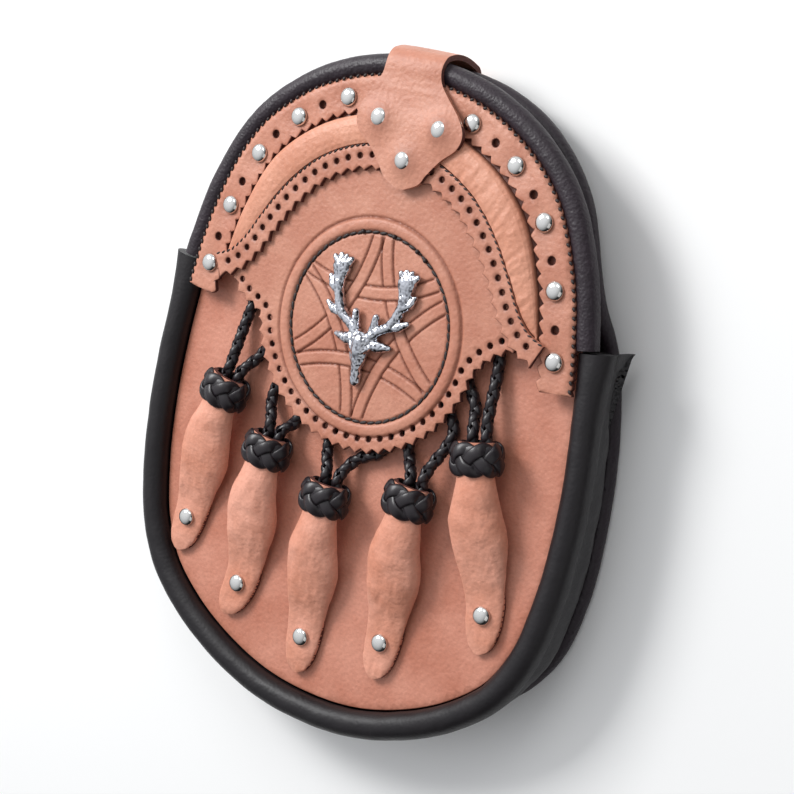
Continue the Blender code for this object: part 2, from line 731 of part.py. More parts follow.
def leaf_line(knot, lean, bend, count):
    """The leaf's middle line in plan, from its lip above the knot to its tip."""
    first = math.radians(lean)
    last = math.radians(lean + bend)
    lip = np.array(knot) - np.array([math.sin(first), -math.cos(first)]) * (KNOT_HEIGHT / 2 + 2 * GAP)
    hinge = lip + np.array([math.sin(first), -math.cos(first)]) * LEAF_RIVET
    tip = hinge + np.array([math.sin(last), -math.cos(last)]) * (LEAF_LENGTH - LEAF_RIVET)
    return smooth([lip, (lip + hinge) / 2, hinge, tip], count)


def tassel_leaf(name, knot, lean, bend):
    """One leaf: a half tube through the knot, then domed, then flat at its tip. Returns the rivet's place."""
    line = leaf_line(knot, lean, bend, LEAF_STEPS + 1)
    across = normals(line)
    neck_half = KNOT_WIDTH / 2 - KNOT_WALL - GAP
    neck_dome = KNOT_THICKNESS / 2 - KNOT_WALL - GAP
    flat = PANEL_TOP + GAP + LEAF_LEATHER
    rows = [
        (0.0, neck_half, neck_dome, KNOT_LEVEL),
        (KNOT_HEIGHT / 2 / LEAF_LENGTH, neck_half, neck_dome, KNOT_LEVEL),
        ((KNOT_HEIGHT + 4 * GAP) / LEAF_LENGTH, neck_half, neck_dome, KNOT_LEVEL),
    ]
    for along, half, dome, level in LEAF:
        height = flat + (KNOT_LEVEL - flat) * level
        rows.append((along, half * LEAF_HALF_WIDTH, dome * LEAF_DOME, height))
    sections = []
    for along, half, dome, level in rows:
        at = round(along * LEAF_STEPS)
        inner_half = half * (1 - min(LEAF_LEATHER / half, 0.9))
        inner_dome = dome - LEAF_LEATHER
        arc = np.linspace(math.pi, 0, 6)
        outer = [(half * math.cos(a), level + dome * math.sin(a)) for a in arc]
        if inner_dome > 0.35 * dome:
            inner = [(inner_half * math.cos(a), level + inner_dome * math.sin(a)) for a in arc[::-1]]
        else:
            inner = [(x, z - LEAF_LEATHER) for x, z in outer[::-1]]
        sections.append(
            [(line[at][0] + across[at][0] * -s, line[at][1] + across[at][1] * -s, z) for s, z in outer + inner]
        )
    finish(loft(name, sections), TAN_PALE, 0.5)
    place = line[round(LEAF_RIVET / LEAF_LENGTH * LEAF_STEPS)]
    above_rivet = (LEAF_RIVET - RIVET_RADIUS) / LEAF_LENGTH
    tops = [level + dome for _, _, dome, level in rows]
    return place[0], place[1], float(np.interp(above_rivet, [row[0] for row in rows], tops))


def tassel_knot(name, knot, lean):
    """The plaited ring round the leaf and its cords, as one rounded band."""
    profile = (
        # along the tassel, and from the inside of the wall to its outside
        (-0.5, 0.0),
        (-0.5, 0.45),
        (-0.28, 0.92),
        (0.0, 1.0),
        (0.28, 0.92),
        (0.5, 0.45),
        (0.5, 0.0),
    )
    sections = []
    for turn in np.arange(12) * 2 * math.pi / 12:
        section = []
        for along, out in profile:
            wall = KNOT_WALL * (1 - out)
            wide = (KNOT_WIDTH / 2 - wall) * math.cos(turn)
            high = (KNOT_THICKNESS / 2 - wall) * math.sin(turn)
            section.append((wide, along * KNOT_HEIGHT, high))
        sections.append(section)
    obj = loft(name, sections, closed=True)
    obj.location = (knot[0], knot[1], KNOT_LEVEL)
    obj.rotation_euler.z = math.radians(lean)
    finish(obj, PLAIT, 0.4)


def tassel_cord(name, knot, lean, routes):
    """One cord: from under the apron into the knot, round, and back up to the apron."""
    turn = math.radians(lean)
    side = np.array([math.cos(turn), math.sin(turn)])
    up = np.array([-math.sin(turn), math.cos(turn)])
    in_knot = KNOT_LEVEL - CORD_RADIUS + 2 * GAP
    ends = []
    for sign, route in zip((-1, 1), routes):
        beside = knot + side * sign * CORD_SPREAD
        leg = [(x * APRON_RADIUS, y * APRON_RADIUS, CORD_LEVEL) for x, y in route]
        leg += [(*(beside + up * (KNOT_HEIGHT / 2 + CORD_RADIUS)), in_knot), (*beside, in_knot)]
        ends.append(leg)
    rows = ends[0] + [(*(knot - up * CORD_SPREAD), in_knot)] + ends[1][::-1]
    line = smooth(rows, 17)
    line[:, 2] = np.clip(line[:, 2], CORD_LEVEL, in_knot)
    finish(tube(name, line, CORD_RADIUS), PLAIT, 0.45)


def tassels():
    """The five tassels, each a cord, a knot, a leaf and a rivet."""
    for number, (angle, hang, lean, bend) in enumerate(TASSELS, 1):
        reach = APRON_RADIUS + hang * HANG
        around = math.radians(angle)
        knot = np.array([reach * math.cos(around), APRON_CENTRE + reach * math.sin(around)])
        tassel_cord(f"tassel_cord_{number}", knot, lean, CORD_LEGS[number - 1])
        tassel_knot(f"tassel_knot_{number}", knot, lean)
        x, y, top = tassel_leaf(f"tassel_leaf_{number}", knot, lean, bend)
        rivet(f"tassel_rivet_{number}", x, y, top)


for old in list(bpy.data.objects):
    bpy.data.objects.remove(old, do_unlink=True)

front_panel()
front_piping()
gusset()
back_panel()
back_piping()
belt_loops()
yoke()
outer_band()
inner_band()
apron()
stag_head()
closing_tab()
tassels()
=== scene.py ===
import math

import bmesh
import bpy
import numpy as np
from mathutils import Matrix, Vector, geometry, kdtree, noise


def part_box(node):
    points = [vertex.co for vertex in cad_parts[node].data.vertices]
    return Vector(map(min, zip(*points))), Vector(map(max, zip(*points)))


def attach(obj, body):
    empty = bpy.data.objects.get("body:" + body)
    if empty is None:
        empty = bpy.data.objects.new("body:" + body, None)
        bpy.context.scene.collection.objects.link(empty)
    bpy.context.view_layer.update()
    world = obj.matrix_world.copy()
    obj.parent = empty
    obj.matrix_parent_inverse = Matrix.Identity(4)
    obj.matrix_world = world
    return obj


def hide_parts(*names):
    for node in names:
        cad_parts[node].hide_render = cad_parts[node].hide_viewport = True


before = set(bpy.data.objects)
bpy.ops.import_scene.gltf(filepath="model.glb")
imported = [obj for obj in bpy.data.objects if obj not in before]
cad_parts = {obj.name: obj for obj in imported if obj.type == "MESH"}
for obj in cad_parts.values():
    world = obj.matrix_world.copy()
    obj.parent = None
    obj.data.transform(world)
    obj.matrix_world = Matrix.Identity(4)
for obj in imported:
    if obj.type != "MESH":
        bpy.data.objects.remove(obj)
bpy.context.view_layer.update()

# View, light and floor
# The pouch lies on its back on a pale floor. The camera looks down from its right side, a little past its
# top, and a soft light stands at its upper left.
MM = 0.001
MEDALLION = Vector((0.0, 24.8, 28.7)) * MM
CAMERA_PLACE = Vector((327.0, 91.8, 494.3)) * MM
CAMERA_AIM = Vector((17.0, -19.6, 0.0)) * MM
CAMERA_ROLL = -95.58
CAMERA_LENS = 80.7
WINDOW_WAY = (-0.60, 0.46, 0.65)


def aimed(data, place, aim, roll=0.0):
    """A camera or light at a place about the medallion's middle, turned to look at another."""
    obj = bpy.data.objects.new(data.name, data)
    turn = (place - aim).to_track_quat("Z", "Y").to_matrix() @ Matrix.Rotation(math.radians(roll), 3, "Z")
    obj.matrix_world = Matrix.Translation(place + MEDALLION) @ turn.to_4x4()
    bpy.context.scene.collection.objects.link(obj)
    return obj


camera_data = bpy.data.cameras.new("camera")
camera_data.lens = CAMERA_LENS
camera_data.clip_start = 50 * MM
bpy.context.scene.camera = aimed(camera_data, CAMERA_PLACE, CAMERA_AIM, CAMERA_ROLL)

LIGHTS = (
    # name, width in m, watts, place in m about the medallion
    ("window_light", 0.34, 7.6, (-0.55, 0.42, 0.60)),
    ("fill_light", 0.70, 0.9, (0.70, -0.30, 0.60)),
    ("top_light", 0.30, 0.8, (0.15, 0.60, 0.55)),
)
for light_name, light_width, watts, light_place in LIGHTS:
    lamp = bpy.data.lights.new(light_name, "AREA")
    lamp.size = light_width
    lamp.energy = watts
    aimed(lamp, Vector(light_place), Vector((0, 0, 0)))


def linear(hex_colour):
    """A screen colour as the linear values that a shader takes."""
    parts = [int(hex_colour[i : i + 2], 16) / 255 for i in (0, 2, 4)]
    return [c / 12.92 if c <= 0.04045 else ((c + 0.055) / 1.055) ** 2.4 for c in parts] + [1.0]


def add(tree, kind, inputs, **settings):
    """Adds a node with its settings. Each input takes a value or another node's output."""
    made = tree.nodes.new("ShaderNode" + kind)
    for name, value in settings.items():
        setattr(made, name, value)
    for name, value in inputs.items():
        if isinstance(value, bpy.types.NodeSocket):
            tree.links.new(value, made.inputs[name])
        else:
            made.inputs[name].default_value = value
    return made


def new_finish(name, roughness, **values):
    """A material with its Principled shader, whose constant values are set on the shader's own sockets."""
    made = bpy.data.materials.new(name)
    made.use_nodes = True
    shader = made.node_tree.nodes["Principled BSDF"]
    shader.inputs["Roughness"].default_value = roughness
    for socket, value in values.items():
        shader.inputs[socket.replace("_", " ")].default_value = value
    return made, made.node_tree, shader


studio = bpy.data.worlds.new("studio")
studio.use_nodes = True
sky = add(studio.node_tree, "TexCoord", {}).outputs["Generated"]
# The studio is bright on the window's side and dark on the other
toward_window = add(studio.node_tree, "VectorMath", {0: sky, 1: WINDOW_WAY}, operation="DOT_PRODUCT")
glow = add(
    studio.node_tree,
    "MapRange",
    {
        "Value": toward_window.outputs["Value"],
        "From Min": -0.12,
        "From Max": 0.85,
        "To Min": 0.02,
        "To Max": 1.0,
    },
)
studio.node_tree.links.new(glow.outputs[0], studio.node_tree.nodes["Background"].inputs["Strength"])
studio.node_tree.nodes["Background"].inputs["Color"].default_value = linear("F2F4F8")
bpy.context.scene.world = studio
bpy.context.scene.view_settings.view_transform = "Standard"

floor_paper, _, _ = new_finish("matt_paper", 0.9, Base_Color=linear("F4F4F3"))
floor_shape = bmesh.new()
bmesh.ops.create_grid(floor_shape, x_segments=1, y_segments=1, size=3.0)
floor_mesh = bpy.data.meshes.new("floor")
floor_shape.to_mesh(floor_mesh)
floor_shape.free()
floor_mesh.materials.append(floor_paper)
floor = bpy.data.objects.new("floor", floor_mesh)
bpy.context.scene.collection.objects.link(floor)

# Front leather
# The pouch's flat front is one piece of vegetable-tanned cowhide, smooth side out. Its edge is tucked into
# the black roll round it.
TAN_LEATHER = 1.8 * MM
GAP = 0.3 * MM
CORD_RADIUS = 2.2 * MM
PANEL_TOP = -TAN_LEATHER - 2 * GAP - 2 * CORD_RADIUS
FRONT_HALF_WIDTH = 81.5 * MM
FRONT_ABOVE = 84.0 * MM
FRONT_BELOW = 133.5 * MM
BACK_INSET = 10.0 * MM
EDGE_ROUND = 0.3 * MM
ROW_STEP = 0.866
OUTLINE = (
    # shares of the half width, and of the height above or below; the back roll's inset
    (0.0, 1.0, 0.35),
    (0.20, 0.98, 0.30),
    (0.48, 0.88, 0.32),
    (0.72, 0.69, 0.58),
    (0.87, 0.41, 0.82),
    (0.935, 0.17, 0.60),
    (0.975, -0.07, 0.30),
    (1.0, -0.37, 0.08),
    (0.98, -0.53, 0.0),
    (0.92, -0.69, 0.05),
    (0.84, -0.78, 0.22),
    (0.70, -0.86, 0.40),
    (0.49, -0.935, 0.50),
    (0.25, -0.985, 0.50),
    (0.0, -1.0, 0.50),
)


def smooth(rows, count, closed=False):
    """count points, evenly spaced, on a smooth curve through the rows."""
    rows = np.array(rows, float)
    if closed:
        ring = np.vstack([rows[-1], rows, rows[0], rows[1]])
    else:
        ring = np.vstack([2 * rows[0] - rows[1], rows, 2 * rows[-1] - rows[-2]])
    spans = np.linalg.norm(np.diff(ring[:, :2], axis=0), axis=1)
    dense = []
    for i in range(1, len(ring) - 2):
        before, here, after, beyond = ring[i - 1 : i + 3]
        a, b, c = spans[i - 1 : i + 2]
        leaving = ((here - before) / a - (after - before) / (a + b) + (after - here) / b) * b
        arriving = ((after - here) / b - (beyond - here) / (b + c) + (beyond - after) / c) * b
        t = np.linspace(0, 1, 24, endpoint=False)[:, None]
        dense.append(
            (2 * t**3 - 3 * t**2 + 1) * here
            + (t**3 - 2 * t**2 + t) * leaving
            + (3 * t**2 - 2 * t**3) * after
            + (t**3 - t**2) * arriving
        )
    return evenly(np.vstack([*dense, ring[-2]]), count, closed)


def walk(points):
    """How far along a line in plan each of its points lies."""
    return np.concatenate([[0], np.cumsum(np.linalg.norm(np.diff(points[:, :2], axis=0), axis=1))])


def evenly(points, count, closed=False):
    """The same line through count evenly spaced points. A closed line leaves out the repeated last one."""
    walked = walk(points)
    stops = np.linspace(0, walked[-1], count, endpoint=not closed)
    return np.stack([np.interp(stops, walked, column) for column in points.T], axis=1)


def normals(points, closed=False):
    """Unit normals in plan, to the left of the way the points run."""
    if closed:
        along = np.roll(points, -1, axis=0)[:, :2] - np.roll(points, 1, axis=0)[:, :2]
    else:
        along = np.gradient(points[:, :2], axis=0)
    along /= np.linalg.norm(along, axis=1)[:, None]
    return np.stack([-along[:, 1], along[:, 0]], axis=1)


def offset(points, distance, closed=False):
    """The line moved sideways, outward on the front's outline and on the arch."""
    moved = points.copy()
    moved[:, :2] += normals(points, closed) * np.reshape(distance, (-1, 1))
    return moved


def mirrored(rows):
    """Rows that run from the middle to the right, made to run from the left end to the right end."""
    rows = np.array(rows, float)
    left = rows[:0:-1].copy()
    left[:, 0] *= -1
    return np.vstack([left, rows])


def front_outline(count):
    """The tan front's edge as x, y and back inset, clockwise from the bottom."""
    right = [
        (side * FRONT_HALF_WIDTH, height * (FRONT_ABOVE if height > 0 else FRONT_BELOW), inset * BACK_INSET)
        for side, height, inset in OUTLINE
    ]
    return smooth(mirrored(right)[:-1], count, closed=True)


def upper_outline(lowest, count):
    """The outline's stretch above a height, or above one on each side, from left to right."""
    ring = front_outline(1440)
    left, right = np.broadcast_to(lowest, 2)
    return evenly(ring[ring[:, 1] >= np.where(ring[:, 0] < 0, left, right)], count)


def lower_outline(highest, count):
    """The outline's stretch below a height on each side, from right to left."""
    ring = front_outline(1440)
    ring = np.roll(ring, len(ring) // 2, axis=0)
    left, right = highest
    return evenly(ring[ring[:, 1] <= np.where(ring[:, 0] < 0, left, right)], count)


def cloudy(x, y, z, size, seed=0.0):
    """Smooth noise from -1 to 1 at many points, with bumps of about a size."""
    spots = np.stack(np.broadcast_arrays(x, y, z), axis=-1) / size + seed
    values = [noise.noise(Vector(spot)) for spot in spots.reshape(-1, 3)]
    return np.reshape(values, np.shape(spots)[:-1])


def punched(centre, diameter, sides=12):
    """One punched hole, as a ring of points."""
    turns = np.arange(sides) * 2 * math.pi / sides
    return np.array(centre) + np.stack([np.cos(turns), np.sin(turns)], axis=1) * diameter / 2


def beside(x, y, line):
    """How far each spot lies from the nearest point of a line in plan."""
    near = kdtree.KDTree(len(line))
    for i, spot in enumerate(line):
        near.insert((spot[0], spot[1], 0), i)
    near.balance()
    return np.array([near.find((*spot, 0))[2] for spot in zip(x, y)])


def spread(fences, low, high, spacing, disc):
    """Points in even rows inside a box, clear of the fences. Inside the disc they stand closer."""
    fields = [(spacing, disc[0], 1.0), (disc[1], 0.0, disc[0])] if disc else [(spacing, 0.0, 1.0)]
    rows = []
    for step, smallest, largest in fields:
        x, y = np.meshgrid(np.arange(low[0], high[0], step), np.arange(low[1], high[1], step * ROW_STEP))
        x[1::2] += step / 2
        reach = np.hypot(x, y)
        within = (reach >= smallest) & (reach < largest)
        x, y = x[within], y[within]
        clear = beside(x, y, fences) > 0.55 * step
        rows.append(np.column_stack([x[clear], y[clear]]))
    return np.vstack(rows)


def cut_leather(outline, holes, under, thickness, spacing, relief, disc=None):
    """A leather cut from plan lines and punched. relief(x, y) gives how far its face is moved and how dark it
    is made, for tooling and as painted shade, and disc is a radius about the medallion's middle and the
    closer spacing inside it."""
    outline = outline[:, :2]
    after = np.roll(outline, -1, axis=0)
    clockwise = np.sum(outline[:, 0] * after[:, 1] - outline[:, 1] * after[:, 0]) < 0
    rings = [outline, *[punched(centre, size) for *centre, size in holes]]
    within = [offset(outline, -EDGE_ROUND if clockwise else EDGE_ROUND, closed=True)]
    within += [punched(centre, size + 2 * EDGE_ROUND) for *centre, size in holes]
    edges = []
    first = 0
    for ring in rings:
        edges += [(first + i, first + (i + 1) % len(ring)) for i in range(len(ring))]
        first += len(ring)
    fences = np.vstack(rings + within)
    inside = spread(fences, outline.min(axis=0), outline.max(axis=0), spacing, disc)
    points = [Vector(p) for p in np.vstack([fences, inside])]
    corners, _, faces = geometry.delaunay_2d_cdt(points, edges, [], 1, 1e-7)[:3]
    flat = np.array([tuple(c) for c in corners])
    centres = np.array([flat[list(face)].mean(axis=0) for face in faces])
    solid = np.ones(len(faces), bool)
    for x, y, size in holes:
        solid &= np.hypot(centres[:, 0] - x, centres[:, 1] - y) > 0.95 * size / 2
    kept = [face for face, is_solid in zip(faces, solid) if is_solid]
    bm = bmesh.new()
    tooling_and_painted_shade = bm.verts.layers.float.new("tooling_and_painted_shade")
    raised, tooling_and_shade = relief(flat[:, 0], flat[:, 1])
    verts = {}
    for i in {i for face in kept for i in face}:
        verts[i] = bm.verts.new((*flat[i], under + thickness + raised[i]))
        verts[i][tooling_and_painted_shade] = tooling_and_shade[i]
    for face in kept:
        bm.faces.new([verts[i] for i in face])
    rim = {vert for edge in bm.edges if edge.is_boundary for vert in edge.verts}
    skin = bmesh.ops.extrude_face_region(bm, geom=bm.faces[:])["geom"]
    below = [item for item in skin if isinstance(item, bmesh.types.BMVert)]
    bmesh.ops.translate(bm, verts=below, vec=(0, 0, -thickness))
    # The rim's top edge is darkened: partly its stained edge, partly painted shade along it
    for vert in rim:
        vert.co.z -= EDGE_ROUND * 0.8
        vert[tooling_and_painted_shade] = 1.0
    bmesh.ops.recalc_face_normals(bm, faces=bm.faces)
    for face in bm.faces:
        if abs(face.normal.z) < 0.3:
            face.material_index = 1
    return bm


def piece(name, bm, finishes, nodes, sharp=40):
    """Puts a finished shape in the part's frame, on its body, in place of its CAD nodes if it has any."""
    bmesh.ops.translate(bm, verts=bm.verts, vec=MEDALLION)
    mesh = bpy.data.meshes.new(name)
    bm.to_mesh(mesh)
    bm.free()
    mesh.shade_smooth()
    mesh.set_sharp_from_angle(angle=math.radians(sharp))
    for made in finishes:
        mesh.materials.append(made)
    obj = bpy.data.objects.new(name, mesh)
    bpy.context.scene.collection.objects.link(obj)
    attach(obj, "root")
    if nodes:
        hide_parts(*nodes)
    return obj


def tanned_cowhide(name, colour, flushed):
    """Vegetable-tanned cowhide, lightly oiled: a soft sheen, flushed in clouds, dark where tooled and with
    painted shade.
    """
    made, tree, shader = new_finish(name, 0.46, Specular_IOR_Level=0.42)
    where = add(tree, "TexCoord", {}).outputs["Object"]
    clouds = add(
        tree, "TexNoise", {"Vector": where, "Scale": 1 / (24 * MM), "Detail": 5.0, "Roughness": 0.62}
    )
    share = add(tree, "MapRange", {"Value": clouds.outputs[0], "From Min": 0.36, "From Max": 0.64})
    hide = add(tree, "Mix", {0: share.outputs[0], 6: linear(colour), 7: linear(flushed)}, data_type="RGBA")
    # Fibres and pores of 0.2 mm are drawn 1.1 mm wide, so that they show
    fibres = add(
        tree, "TexNoise", {"Vector": where, "Scale": 1 / (1.1 * MM), "Detail": 3.0, "Roughness": 0.7}
    )
    light = add(
        tree,
        "MapRange",
        {"Value": fibres.outputs[0], "From Min": 0.3, "From Max": 0.7, "To Min": 0.93, "To Max": 1.07},
    )
    grey = add(tree, "CombineColor", {0: light.outputs[0], 1: light.outputs[0], 2: light.outputs[0]})
    speckled = add(
        tree, "Mix", {0: 1.0, 6: hide.outputs[2], 7: grey.outputs[0]}, data_type="RGBA", blend_type="MULTIPLY"
    )
    # The darkening read here is partly tooling and partly painted shade at rims, round rivets and holes and
    # on hidden ledges
    tooling_and_painted_shade = add(tree, "Attribute", {}, attribute_name="tooling_and_painted_shade").outputs["Fac"]
    tooled = add(tree, "Mix", {0: tooling_and_painted_shade, 6: speckled.outputs[2], 7: linear("5C2B1E")}, data_type="RGBA")
    tree.links.new(tooled.outputs[2], shader.inputs["Base Color"])
    creases = add(tree, "TexVoronoi", {"Vector": where, "Scale": 1 / (1.5 * MM)}, feature="SMOOTH_F1")
    height = add(tree, "Math", {0: fibres.outputs[0], 1: creases.outputs["Distance"]}, operation="ADD")
    bump = add(tree, "Bump", {"Height": height.outputs[0], "Strength": 0.75, "Distance": 0.22 * MM})
    tree.links.new(bump.outputs[0], shader.inputs["Normal"])
    return made


tan_front = tanned_cowhide("tanned_cowhide_front", "B8745D", "CB8A74")
tan_band = tanned_cowhide("tanned_cowhide_bands", "B4755E", "C48972")


def cut_edge_leather():
    """The cut edge of tanned cowhide, stained dark wine red and left matt, with its fibres showing."""
    made, tree, shader = new_finish("stained_cut_edge", 0.8)
    where = add(tree, "TexCoord", {}).outputs["Object"]
    fibres = add(tree, "TexNoise", {"Vector": where, "Scale": 1 / (0.8 * MM), "Detail": 2.0})
    stain = add(
        tree, "Mix", {0: fibres.outputs[0], 6: linear("3E1C1B"), 7: linear("6C3B30")}, data_type="RGBA"
    )
    tree.links.new(stain.outputs[2], shader.inputs["Base Color"])
    return made


cut_edge = cut_edge_leather()


def front_relief(x, y):
    """The front lies a little uneven, always below its flat face."""
    uneven = 0.5 + 0.5 * cloudy(x, y, 0.0, 30 * MM)
    return -0.45 * MM * np.clip(uneven, 0, 1), 0 * x


front_edge = offset(front_outline(480), -GAP, closed=True)
front = cut_leather(front_edge, [], PANEL_TOP - TAN_LEATHER, TAN_LEATHER, 2.2 * MM, front_relief)
piece("front_leather", front, [tan_front, cut_edge], ["front_panel"])

# Rolls, side wall and back
# Soft black garment leather is rolled over a cord round both edges. The side wall's front edge wraps the
# lower half of the front, and its ends stand out as ears where the mouth begins.
PIPING_RADIUS = 3.9 * MM
PIPING_DEPTH = 4.0 * MM
RIM_RADIUS = 5.0 * MM
RIM_DEPTH = 6.0 * MM
BACK_ROLL_RADIUS = 3.2 * MM
BACK_DEPTH = 25.5 * MM
MOUTH_DEPTH = 18.5 * MM
BEND_START = 5.0 * MM
BEND_END = 28.0 * MM
EAR_LEFT = 6.0 * MM
EAR_RIGHT = 11.0 * MM
EAR_FLARE = 0.3
EAR_LENGTH = 26.0 * MM
GUSSET_LEATHER = 1.5 * MM
PANEL_LEATHER = 1.8 * MM


def black_garment_leather(name, colour, worn, grain, depth):
    """Black sheep leather, dyed through and finished soft: a broken sheen over fine grain and creases."""
    made, tree, shader = new_finish(name, 0.45, Specular_IOR_Level=0.42)
    where = add(tree, "TexCoord", {}).outputs["Object"]
    clouds = add(tree, "TexNoise", {"Vector": where, "Scale": 1 / (9 * MM), "Detail": 4.0, "Roughness": 0.6})
    dye = add(tree, "Mix", {0: clouds.outputs[0], 6: linear(colour), 7: linear(worn)}, data_type="RGBA")
    tree.links.new(dye.outputs[2], shader.inputs["Base Color"])
    gloss = add(tree, "MapRange", {"Value": clouds.outputs[0], "To Min": 0.38, "To Max": 0.60})
    tree.links.new(gloss.outputs[0], shader.inputs["Roughness"])
    pebbles = add(tree, "TexVoronoi", {"Vector": where, "Scale": 1 / grain}, feature="SMOOTH_F1")
    creases = add(
        tree, "TexNoise", {"Vector": where, "Scale": 1 / (2.4 * MM), "Detail": 3.0, "Distortion": 0.6}
    )
    height = add(tree, "Math", {0: pebbles.outputs["Distance"], 1: creases.outputs[0]}, operation="ADD")
    bump = add(tree, "Bump", {"Height": height.outputs[0], "Strength": 0.6, "Distance": depth})
    tree.links.new(bump.outputs[0], shader.inputs["Normal"])
    return made


black_roll = black_garment_leather("garment_leather_rolled", "171016", "30242D", 0.9 * MM, 0.3 * MM)
# The wall, back and belt loops take a darker copy of the same leather: painted shade, as the wall faces away
# from the light
black_leather_painted_shade = black_garment_leather("garment_leather_flat_painted_shade", "0B080B", "171116", 1.1 * MM, 0.12 * MM)


def sheet(bm, along, around, place):
    """Adds a grid whose points place(u, v) sets, u along the piece and v round its section, and closes it."""
    section = bm.verts.layers.float.get("round") or bm.verts.layers.float.new("round")
    grid = bmesh.ops.create_grid(bm, x_segments=along, y_segments=around, size=1.0)["verts"]
    shares = (np.array([tuple(vert.co) for vert in grid]) + 1) / 2
    for vert, v, spot in zip(grid, shares[:, 1], place(shares[:, 0], shares[:, 1])):
        vert.co = spot
        vert[section] = v
    bmesh.ops.remove_doubles(bm, verts=grid, dist=MM / 1000)
    bmesh.ops.holes_fill(bm, edges=[edge for edge in bm.edges if edge.is_boundary], sides=0)
    bmesh.ops.recalc_face_normals(bm, faces=bm.faces)
    return bm


def at(u, columns):
    """Rows of a table of evenly spaced stations, at shares u of its length."""
    stops = np.linspace(0, 1, len(columns))
    return np.stack([np.interp(u, stops, column) for column in np.asarray(columns).T], axis=-1)


def frames(line):
    """The unit directions along a line in space, to its side in plan, and up from both."""
    ahead = np.gradient(line, axis=0)
    ahead /= np.linalg.norm(ahead, axis=1)[:, None]
    side = np.cross(ahead, (0, 0, 1))
    side /= np.linalg.norm(side, axis=1)[:, None]
    return ahead, side, np.cross(side, ahead)


def roll(bm, line, radius, along, around=24, closed=False, uneven=0.12 * MM):
    """A roll of soft leather along a line in space, slightly lumpy, with small puckers across it."""
    ahead, side, up = frames(line)
    if closed:
        line, side, up = (np.vstack([table, table[0]]) for table in (line, side, up))

    def place(u, v):
        turn = 2 * math.pi * v[:, None]
        out = at(u, side) * np.cos(turn) + at(u, up) * np.sin(turn)
        middle = at(u, line)
        spot = middle + out * radius
        lumps = cloudy(*spot.T, 7 * MM) + 0.5 * cloudy(*spot.T, 2.4 * MM, 5.0)
        return spot + out * (uneven * (lumps - 1.0))[:, None]

    return sheet(bm, along, around, place)


def back_level(y):
    """The middle of the back leather, from the medallion's face: bent forward at the mouth."""
    share = np.clip((y - BEND_START) / (BEND_END - BEND_START), 0.0, 1.0)
    return -BACK_DEPTH + (BACK_DEPTH - MOUTH_DEPTH) * share * share * (3 - 2 * share)


def back_roll_line(ring):
    """Where the middle of the back roll runs beside each point of the outline."""
    return offset(ring, 2 * RIM_RADIUS - BACK_ROLL_RADIUS - ring[:, 2], closed=True)


front_roll_line = offset(upper_outline((EAR_LEFT + GAP, EAR_RIGHT + GAP), 160), PIPING_RADIUS)
front_roll_line[:, 2] = -PIPING_DEPTH
front_roll = roll(bmesh.new(), front_roll_line, PIPING_RADIUS, 420)
piece("front_roll", front_roll, [black_roll], ["front_piping"])

back_line = back_roll_line(front_outline(360))
back_line[:, 2] = back_level(back_line[:, 1])
back_roll = roll(bmesh.new(), back_line, BACK_ROLL_RADIUS, 620, 18, closed=True)
piece("back_roll", back_roll, [black_roll], ["back_piping"])

wall_ring = lower_outline((EAR_LEFT, EAR_RIGHT), 240)
wall_normals = normals(wall_ring)
wall_length = walk(wall_ring)[-1]
# Where the rim, the wall's outside and its foot end, in shares of the way round its section
RIM_END = 0.5
OUTSIDE_END = 0.74
FOOT_END = 0.78
HEM_WIDTH = 4.5 * MM
HEM_HEIGHT = 0.35 * MM
HEM_END = 0.75


